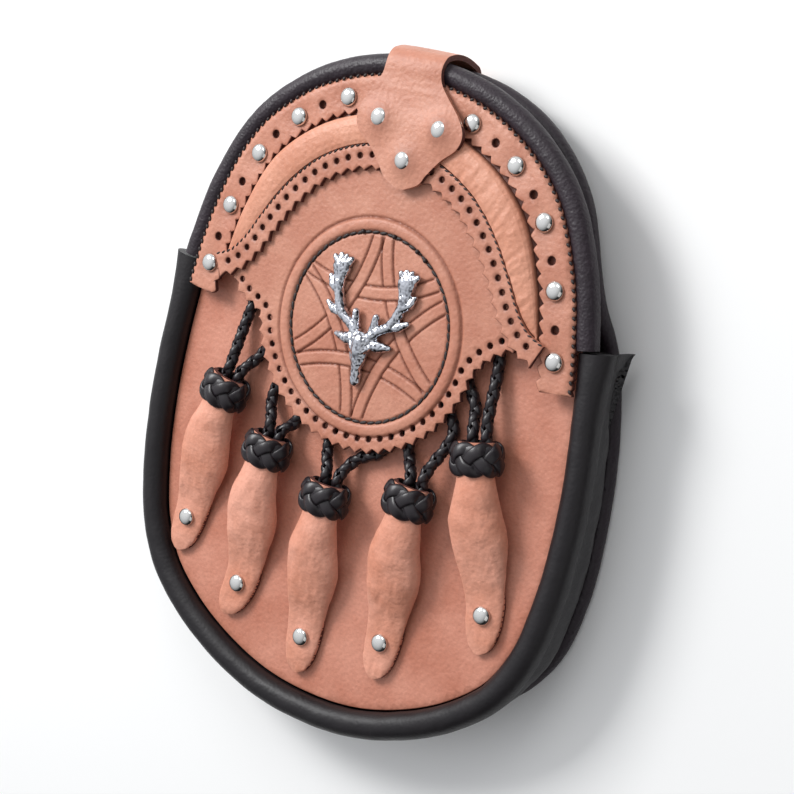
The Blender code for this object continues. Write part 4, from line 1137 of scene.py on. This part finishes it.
# Closing tab
# A shaped tongue of cowhide sewn to the back, folded over the mouth and riveted to the crescent by its tip.
# The rivets pull it down, so it is dished round them.
TAB_LENGTH = 39.8 * MM
TAB_BACK = 30.0 * MM
TAB_ASIDE = 3.8 * MM
BORDER_TOP = BORDER_UNDER + TAN_LEATHER
TAB_BEND = PIPING_RADIUS + GAP + TAN_LEATHER / 2
TAB = (
    # shares of the tab's front length from its fold, its half width, its lift and how far it lies aside
    (0.0, 0.52, 0.0, 0.0),
    (0.10, 0.56, 0.05, 0.10),
    (0.21, 0.70, 0.25, 0.40),
    (0.335, 0.89, 0.70, 0.75),
    (0.465, 1.00, 1.0, 1.0),
    (0.59, 0.93, 1.05, 1.0),
    (0.70, 0.68, 1.0, 1.05),
    (0.84, 0.45, 0.98, 1.15),
    (0.945, 0.28, 0.98, 1.25),
    (1.0, 0.06, 0.98, 1.25),
)


def tab_rows():
    """The tab's middle line as y, level, half width and way aside, from its tip to its end behind."""
    fold = FRONT_ABOVE + PIPING_RADIUS
    lift = max(PAD_CROWN, BORDER_TOP)
    rows = [
        (
            fold - along * TAB_LENGTH,
            GAP + TAN_LEATHER / 2 + share * lift,
            half * TAB_HALF_WIDTH,
            aside * TAB_ASIDE,
        )
        for along, half, share, aside in reversed(TAB)
    ]
    width = TAB[0][1] * TAB_HALF_WIDTH
    for a in np.radians((65, 35, 5)):
        rows.append((fold + TAB_BEND * math.cos(a), -PIPING_DEPTH + TAB_BEND * math.sin(a), width, 0.0))
    top = back_roll_line(front_outline(720))[:, 1].max()
    bend = BACK_ROLL_RADIUS + GAP + TAN_LEATHER / 2
    for a in np.radians((-5, -35, -65, -95)):
        rows.append((top + bend * math.cos(a), -MOUTH_DEPTH + bend * math.sin(a), width, 0.0))
    flat = -MOUTH_DEPTH - PANEL_LEATHER / 2 - GAP - TAN_LEATHER / 2
    past_roll = top - 2 * BACK_ROLL_RADIUS
    for share, narrow in ((0.0, 1.0), (0.5, 1.0), (0.85, 0.9), (1.0, 0.5)):
        rows.append((past_roll - share * TAB_BACK, flat, width * narrow, 0.0))
    return smooth(rows, 181)


TAB_LINE = tab_rows()
TAB_AHEAD = np.gradient(TAB_LINE[:, :2], axis=0)
TAB_AHEAD /= np.linalg.norm(TAB_AHEAD, axis=1)[:, None]
tab_rivets = []
for number in (1, 2, 3):
    rivet_box = [Vector(corner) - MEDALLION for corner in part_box(f"tab_rivet_{number}")]
    tab_rivets.append(tuple((rivet_box[0] + rivet_box[1])[i] / 2 for i in (0, 1)))


def tab_place(u, v):
    """Round the tab's section: its face for the first part of v, an edge, its back, and the other edge."""
    y, level, half, aside = at(u, TAB_LINE).T
    ahead_y, ahead_z = at(u, TAB_AHEAD).T
    stops = (0.0, 0.46, 0.5, 0.96, 1.0)
    side = np.interp(v, stops, (-1, 1, 1, -1, -1))
    face = np.interp(v, stops, (0.5, 0.5, -0.5, -0.5, 0.5))
    x = aside + side * half
    front = np.clip((0.30 - u) / 0.05, 0, 1)
    drawn = np.zeros_like(x)
    for spot in tab_rivets:
        away = np.hypot(x - spot[0], y - spot[1])
        drawn -= 1.7 * MM * np.exp(-((away / (5.6 * MM)) ** 2))
    curl = 0.7 * MM * np.abs(side) ** 3 * cloudy(side * 5 * MM, y, 0.0, 16 * MM)
    soft = 0.15 * MM * cloudy(x, y, level, 11 * MM)
    depth = face * TAN_LEATHER + (drawn + 0.9 * MM) * front + curl + soft
    return np.stack([x, y + ahead_z * depth, level - ahead_y * depth], axis=1)


tab = sheet(bmesh.new(), 220, 100, tab_place)
# Painted shade in the dips round the tab's rivets
tooling_and_painted_shade = tab.verts.layers.float.new("tooling_and_painted_shade")
for vert in tab.verts:
    away = [math.hypot(vert.co.x - x, vert.co.y - y) for x, y in tab_rivets]
    vert[tooling_and_painted_shade] = sum(0.30 * math.exp(-((distance / (4.6 * MM)) ** 4)) for distance in away)
tab.normal_update()
tab_tip = FRONT_ABOVE + PIPING_RADIUS - TAB_LENGTH
for face in tab.faces:
    if abs(face.normal.x) > 0.8 or face.calc_center_median().y < tab_tip:
        face.material_index = 1
piece("riveted_tab", tab, [tan_band, cut_edge], ["closing_tab"])

# Tassels
# Five tassels hang from under the apron. In each a plaited cord is tucked into a leaf of cowhide, rolled half
# round at its neck and bound by a knot of flat black lace; the leaf opens, lies flat and is riveted.
KNOT_WIDTH = 20.0 * MM
KNOT_THICKNESS = 14.8 * MM
KNOT_HEIGHT = 12.0 * MM
KNOT_WALL = 2.6 * MM
HANG = 17.0 * MM
LEAF_LENGTH = 72.5 * MM
LEAF_HALF_WIDTH = 11.5 * MM
LEAF_DOME = 7.5 * MM
LEAF_LEATHER = 1.6 * MM
LEAF_RIVET = 59.0 * MM
CORD_SPREAD = 2.6 * MM
KNOT_LEVEL = PANEL_TOP + GAP + KNOT_THICKNESS / 2
CORD_LEVEL = (-TAN_LEATHER + PANEL_TOP) / 2
LEAF = (
    # shares of the leaf's length, half width, dome, and of the knot's level over the front
    (0.25, 0.70, 0.76, 0.82),
    (0.31, 0.79, 0.82, 0.66),
    (0.38, 0.88, 0.86, 0.50),
    (0.46, 0.88, 0.80, 0.36),
    (0.54, 0.80, 0.66, 0.24),
    (0.62, 0.70, 0.48, 0.14),
    (0.70, 0.63, 0.30, 0.04),
    (0.78, 0.59, 0.22, 0.0),
    (0.87, 0.55, 0.20, 0.0),
    (0.94, 0.44, 0.14, 0.0),
    (0.98, 0.28, 0.08, 0.0),
    (1.0, 0.10, 0.04, 0.0),
)
TASSELS = (
    # the knot's angle about the apron, its hang as a share of HANG, the leaf's lean and bend in degrees
    (216.0, 1.18, -11.5, -2.0),
    (240.5, 0.97, -6.0, -15.0),
    (267.0, 1.04, -2.0, -2.0),
    (298.5, 0.95, -3.0, -4.0),
    (327.0, 0.92, 12.5, -12.0),
)
CORD_LEGS = (
    # each cord's two legs in shares of the apron's radius, from under the apron out past its edge
    (((-1.086, 0.043), (-1.129, -0.118)), ((-0.882, -0.355), (-0.989, -0.484))),
    (((-0.710, -0.548), (-0.785, -0.710)), ((-0.473, -0.731), (-0.548, -0.882))),
    (((-0.183, -0.774), (-0.204, -0.957)), ((0.366, -0.731), (0.247, -0.888), (0.065, -0.989))),
    (((0.462, -0.645), (0.505, -0.828)), ((0.710, -0.366), (0.824, -0.527))),
    (((0.860, -0.172), (0.963, -0.333)), ((1.054, 0.204), (1.080, 0.011))),
)


def laced_calfskin():
    """Flat lace cut from waxed black calfskin: smooth and glossy, with fine lines drawn along it."""
    made, tree, shader = new_finish("waxed_calf_lace", 0.38, Specular_IOR_Level=0.5)
    where = add(tree, "TexCoord", {}).outputs["Object"]
    wax = add(tree, "TexNoise", {"Vector": where, "Scale": 1 / (2.2 * MM), "Detail": 4.0})
    dye = add(tree, "Mix", {0: wax.outputs[0], 6: linear("0E0A0D"), 7: linear("241C22")}, data_type="RGBA")
    tree.links.new(dye.outputs[2], shader.inputs["Base Color"])
    bump = add(tree, "Bump", {"Height": wax.outputs[0], "Strength": 0.4, "Distance": 0.12 * MM})
    tree.links.new(bump.outputs[0], shader.inputs["Normal"])
    return made


lace_finish = laced_calfskin()
tan_leaf = tanned_cowhide("tanned_cowhide_leaves", "CE896F", "E0A089")


def lace(bm, middle, outward, half_width, half_thickness, along, around=10, closed=False):
    """Adds one flat lace: it follows its middle line in space, with its face turned outward."""
    ahead = np.gradient(np.vstack([middle[-2], middle, middle[1]]) if closed else middle, axis=0)
    ahead = ahead[1:-1] if closed else ahead
    ahead /= np.linalg.norm(ahead, axis=1)[:, None]
    across = np.cross(ahead, outward)
    across /= np.linalg.norm(across, axis=1)[:, None]

    def place(u, v):
        turn = 2 * math.pi * v[:, None]
        flat = np.sign(np.cos(turn)) * np.abs(np.cos(turn)) ** 0.8
        side = at(u, across) * flat * half_width
        return at(u, middle) + side + at(u, outward) * np.sin(turn) * half_thickness

    return sheet(bm, along, around, place)


def leaf_line(knot, lean, bend, count):
    """The leaf's middle line in plan, from its lip above the knot to its tip."""
    first = math.radians(lean)
    last = math.radians(lean + bend)
    lip = np.array(knot) - np.array([math.sin(first), -math.cos(first)]) * (KNOT_HEIGHT / 2 + 2 * GAP)
    hinge = lip + np.array([math.sin(first), -math.cos(first)]) * LEAF_RIVET
    tip = hinge + np.array([math.sin(last), -math.cos(last)]) * (LEAF_LENGTH - LEAF_RIVET)
    return smooth([lip, (lip + hinge) / 2, hinge, tip], count)


def leaf_rows():
    """The leaf's sections from lip to tip: share along, half width, dome and level, evenly spaced."""
    flat = PANEL_TOP + GAP + LEAF_LEATHER
    neck = (KNOT_WIDTH / 2 - KNOT_WALL - GAP, KNOT_THICKNESS / 2 - KNOT_WALL - GAP, KNOT_LEVEL)
    rows = [(down / LEAF_LENGTH, *neck) for down in (0.0, KNOT_HEIGHT / 2, KNOT_HEIGHT + 4 * GAP)]
    for along, half, dome, level in LEAF:
        rows.append((along, half * LEAF_HALF_WIDTH, dome * LEAF_DOME, flat + (KNOT_LEVEL - flat) * level))
    rows = np.array(rows)
    shares = np.linspace(0, 1, 121)
    curve = smooth(np.column_stack([rows[:, 0] * 10, 0 * rows[:, 0], rows[:, 1:]]), 600)
    return np.column_stack([np.interp(shares, curve[:, 0] / 10, curve[:, i]) for i in (2, 3, 4)])


LEAF_ROWS = leaf_rows()
LIP_TUCK = 1.0 * MM / LEAF_LENGTH


def kept_above_front(bm):
    """The same shape, pressed flat where it would sink into the front."""
    for vert in bm.verts:
        vert.co.z = max(vert.co.z, PANEL_TOP + GAP * 0.5)
    return bm


def tassel_leaf(knot, lean, bend, seed):
    """One leaf: rolled half round at its neck, opened below, with its edges cut."""
    line = leaf_line(knot, lean, bend, 121)
    right = -normals(line)

    def place(u, v):
        # The lip is tucked a little into the knot
        u = LIP_TUCK + (1 - LIP_TUCK) * u
        half, dome, level = at(u, LEAF_ROWS).T
        x, y = at(u, line).T
        right_x, right_y = at(u, right).T
        stops = (0.0, 0.47, 0.5, 0.97, 1.0)
        turn = math.pi * (1 - np.interp(v, stops, (0, 1, 1, 0, 0)))
        inner = np.interp(v, stops, (0, 0, 1, 1, 0))
        in_half = half - LEAF_LEATHER * np.minimum(1, half / (3 * MM)) * 0.9
        in_dome = dome - LEAF_LEATHER
        rolled = np.clip((dome / half - 0.25) / 0.2, 0, 1)
        side = np.cos(turn) * (half + (in_half - half) * inner * rolled)
        up = np.sin(turn) * (dome + (in_dome - dome) * inner * rolled) - LEAF_LEATHER * inner * (1 - rolled)
        loose = np.clip((u - 0.2) / 0.1, 0, 1)
        soft = 0.55 * MM * cloudy(x + side, y, seed, 8 * MM) * loose
        creases = 0.3 * MM * cloudy(1.6 * side + 12 * MM * u, 60 * MM * u, seed, 3.2 * MM) * loose
        pleats = 0.2 * MM * cloudy(side, u * 9 * MM, seed, 2.2 * MM) * np.clip(1.2 - u / 0.35, 0, 1)
        from_rivet = (u - LEAF_RIVET / LEAF_LENGTH) * LEAF_LENGTH / (6 * MM)
        lifted = 2.4 * MM * np.clip(side / half, 0, 1) ** 2 * np.exp(-(((u - 0.58) / 0.2) ** 2))
        held = 1 - 0.8 * np.exp(-(from_rivet**2))
        up = up + np.maximum(soft + creases + pleats, -0.3 * MM) * held + lifted
        side = side + 1.2 * MM * np.exp(-(((u - 0.34) / 0.1) ** 2))
        return np.stack([x + right_x * side, y + right_y * side, level + up], axis=1)

    bm = sheet(bmesh.new(), 150, 60, place)
    section = bm.verts.layers.float["round"]
    for face in bm.faces:
        turn = sum(vert[section] for vert in face.verts) / len(face.verts)
        if 0.465 < turn < 0.505 or turn > 0.965 or len(face.verts) > 4:
            face.material_index = 1
    return kept_above_front(bm)


def cord_line(knot, lean, routes):
    """One cord's route: from under the apron into the knot, round, and back up to the apron."""
    turn = math.radians(lean)
    side = np.array([math.cos(turn), math.sin(turn)])
    up = np.array([-math.sin(turn), math.cos(turn)])
    in_knot = KNOT_LEVEL - CORD_RADIUS + 2 * GAP
    ends = []
    for sign, route in zip((-1, 1), routes):
        beside = knot + side * sign * CORD_SPREAD
        leg = [(x * APRON_RADIUS, y * APRON_RADIUS, CORD_LEVEL) for x, y in route]
        leg += [(*(beside + up * (KNOT_HEIGHT / 2 + CORD_RADIUS)), in_knot), (*beside, in_knot)]
        ends.append(leg)
    rows = ends[0] + [(*(knot - up * CORD_SPREAD), in_knot)] + ends[1][::-1]
    line = smooth(rows, 241)
    line[:, 2] = np.clip(line[:, 2], CORD_LEVEL, in_knot)
    return line


PLAIT_PITCH = 11.0 * MM
PLAIT_MIDDLE = 1.3 * MM
PLAIT_SWING = 0.38 * MM


def plaited_cord(line):
    """Four laces plaited round: two turn one way, two the other, each over one and under the next."""
    ahead, side, up = frames(line)
    walked = np.concatenate([[0], np.cumsum(np.linalg.norm(np.diff(line, axis=0), axis=1))])
    bm = bmesh.new()
    for way in (1, -1):
        for start in (0, math.pi):
            along = 2 * math.pi * walked / PLAIT_PITCH
            turn = (way * along + start)[:, None]
            outward = side * np.cos(turn) + up * np.sin(turn)
            swing = PLAIT_MIDDLE + way * PLAIT_SWING * np.cos(2 * along)[:, None]
            lace(bm, line + outward * swing, outward, 1.3 * MM, 0.6 * MM, 200, 8)
    return bm


KNOT_LEADS = 3
KNOT_BIGHTS = 7


def lace_knot(knot, lean):
    """A ring knot: one lace goes round three times, to and fro across the ring, over and under itself."""
    turn = math.radians(lean)
    side = np.array([math.cos(turn), math.sin(turn), 0])
    up = np.array([-math.sin(turn), math.cos(turn), 0])
    high = np.array([0, 0, 1.0])
    middle = np.array([*knot, KNOT_LEVEL])
    round_ring = np.linspace(0, 2 * math.pi * KNOT_LEADS, 661)[:, None]
    weave = round_ring * KNOT_BIGHTS / KNOT_LEADS
    out = 0.7 * MM * np.sin(2 * weave)
    wide = KNOT_WIDTH / 2 - 1.55 * MM
    thick = KNOT_THICKNESS / 2 - 1.55 * MM
    across = 3.7 * MM * np.cos(weave)
    hug = 1 - 0.06 * np.cos(weave) ** 2
    line = (
        middle
        + side * (wide * hug + out) * np.cos(round_ring)
        + high * (thick * hug + out) * np.sin(round_ring)
        + up * across
    )
    outward = side * np.cos(round_ring) / wide + high * np.sin(round_ring) / thick
    outward += up * np.cos(weave) * 0.35 / wide
    outward /= np.linalg.norm(outward, axis=1)[:, None]
    bm = lace(bmesh.new(), line, outward, 2.15 * MM, 0.8 * MM, 660, 12, closed=True)
    core_turn = np.linspace(0, 2 * math.pi, 81)[:, None]
    core = middle + side * (wide - 0.4 * MM) * np.cos(core_turn)
    core = core + high * (thick - 0.4 * MM) * np.sin(core_turn)
    core_outward = side * np.cos(core_turn) / wide + high * np.sin(core_turn) / thick
    core_outward /= np.linalg.norm(core_outward, axis=1)[:, None]
    lace(bm, core, core_outward, 4.6 * MM, 0.7 * MM, 80, 12, closed=True)
    return kept_above_front(bm)


for number, (angle, hang, lean, bend) in enumerate(TASSELS, 1):
    around_apron = math.radians(angle)
    reach = APRON_RADIUS + hang * HANG
    knot_place = np.array([reach * math.cos(around_apron), APRON_CENTRE + reach * math.sin(around_apron)])
    leaf = tassel_leaf(knot_place, lean, bend, number * 3.7)
    piece(f"leaf_{number}", leaf, [tan_leaf, cut_edge], [f"tassel_leaf_{number}"])
    cord = plaited_cord(cord_line(knot_place, lean, CORD_LEGS[number - 1]))
    knot = lace_knot(knot_place, lean)
    for name, node, plaited in (("lace_knot", "tassel_knot", knot), ("plaited_cord", "tassel_cord", cord)):
        replaced = [f"{node}_{number}"]
        piece(f"{name}_{number}", plaited, [lace_finish], replaced, sharp=70)

# Rivets
# Domed double-cap rivets of nickel-plated brass fix the bands, the tab and the leaves. Each takes its place
# and height from its CAD node.
RIVET_PROFILE = (
    # shares of the cap's radius and height, from its crown to its foot
    (0.0, 1.0),
    (0.25, 0.985),
    (0.48, 0.91),
    (0.68, 0.77),
    (0.83, 0.58),
    (0.93, 0.36),
    (0.985, 0.16),
    (0.97, 0.03),
    (0.90, 0.0),
    (0.0, 0.0),
)


def nickel_plate():
    """Polished nickel plate: a warm grey mirror with hairline polishing marks."""
    made, tree, shader = new_finish("nickel_plate", 0.08, Metallic=1.0, Base_Color=linear("E4E3E0"))
    where = add(tree, "TexCoord", {}).outputs["Object"]
    wear = add(tree, "TexNoise", {"Vector": where, "Scale": 1 / (1.6 * MM), "Detail": 3.0})
    gloss = add(tree, "MapRange", {"Value": wear.outputs[0], "To Min": 0.06, "To Max": 0.2})
    tree.links.new(gloss.outputs[0], shader.inputs["Roughness"])
    return made


nickel = nickel_plate()
# How far each rivet draws its leather down with it
RIVET_SUNK = {"band": 0.7 * MM, "tab": 0.8 * MM, "tassel": 0.2 * MM}
for node_name in sorted(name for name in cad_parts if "_rivet_" in name):
    rivet_low, rivet_high = (Vector(corner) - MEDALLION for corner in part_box(node_name))
    rivet_middle = (rivet_low + rivet_high) / 2
    sunk = RIVET_SUNK[node_name.split("_")[0]]
    cap = bmesh.new()
    profile = [
        cap.verts.new((out * RIVET_RADIUS, 0, height * (rivet_high.z - rivet_low.z)))
        for out, height in RIVET_PROFILE
    ]
    lines = [cap.edges.new(pair) for pair in zip(profile, profile[1:])]
    bmesh.ops.spin(
        cap,
        geom=profile + lines,
        angle=2 * math.pi,
        steps=40,
        axis=(0, 0, 1),
        cent=(0, 0, 0),
        use_merge=True,
    )
    bmesh.ops.remove_doubles(cap, verts=cap.verts, dist=MM / 1000)
    bmesh.ops.recalc_face_normals(cap, faces=cap.faces)
    bmesh.ops.translate(cap, verts=cap.verts, vec=(rivet_middle.x, rivet_middle.y, rivet_low.z - sunk))
    piece("cap_" + node_name, cap, [nickel], [node_name], sharp=60)
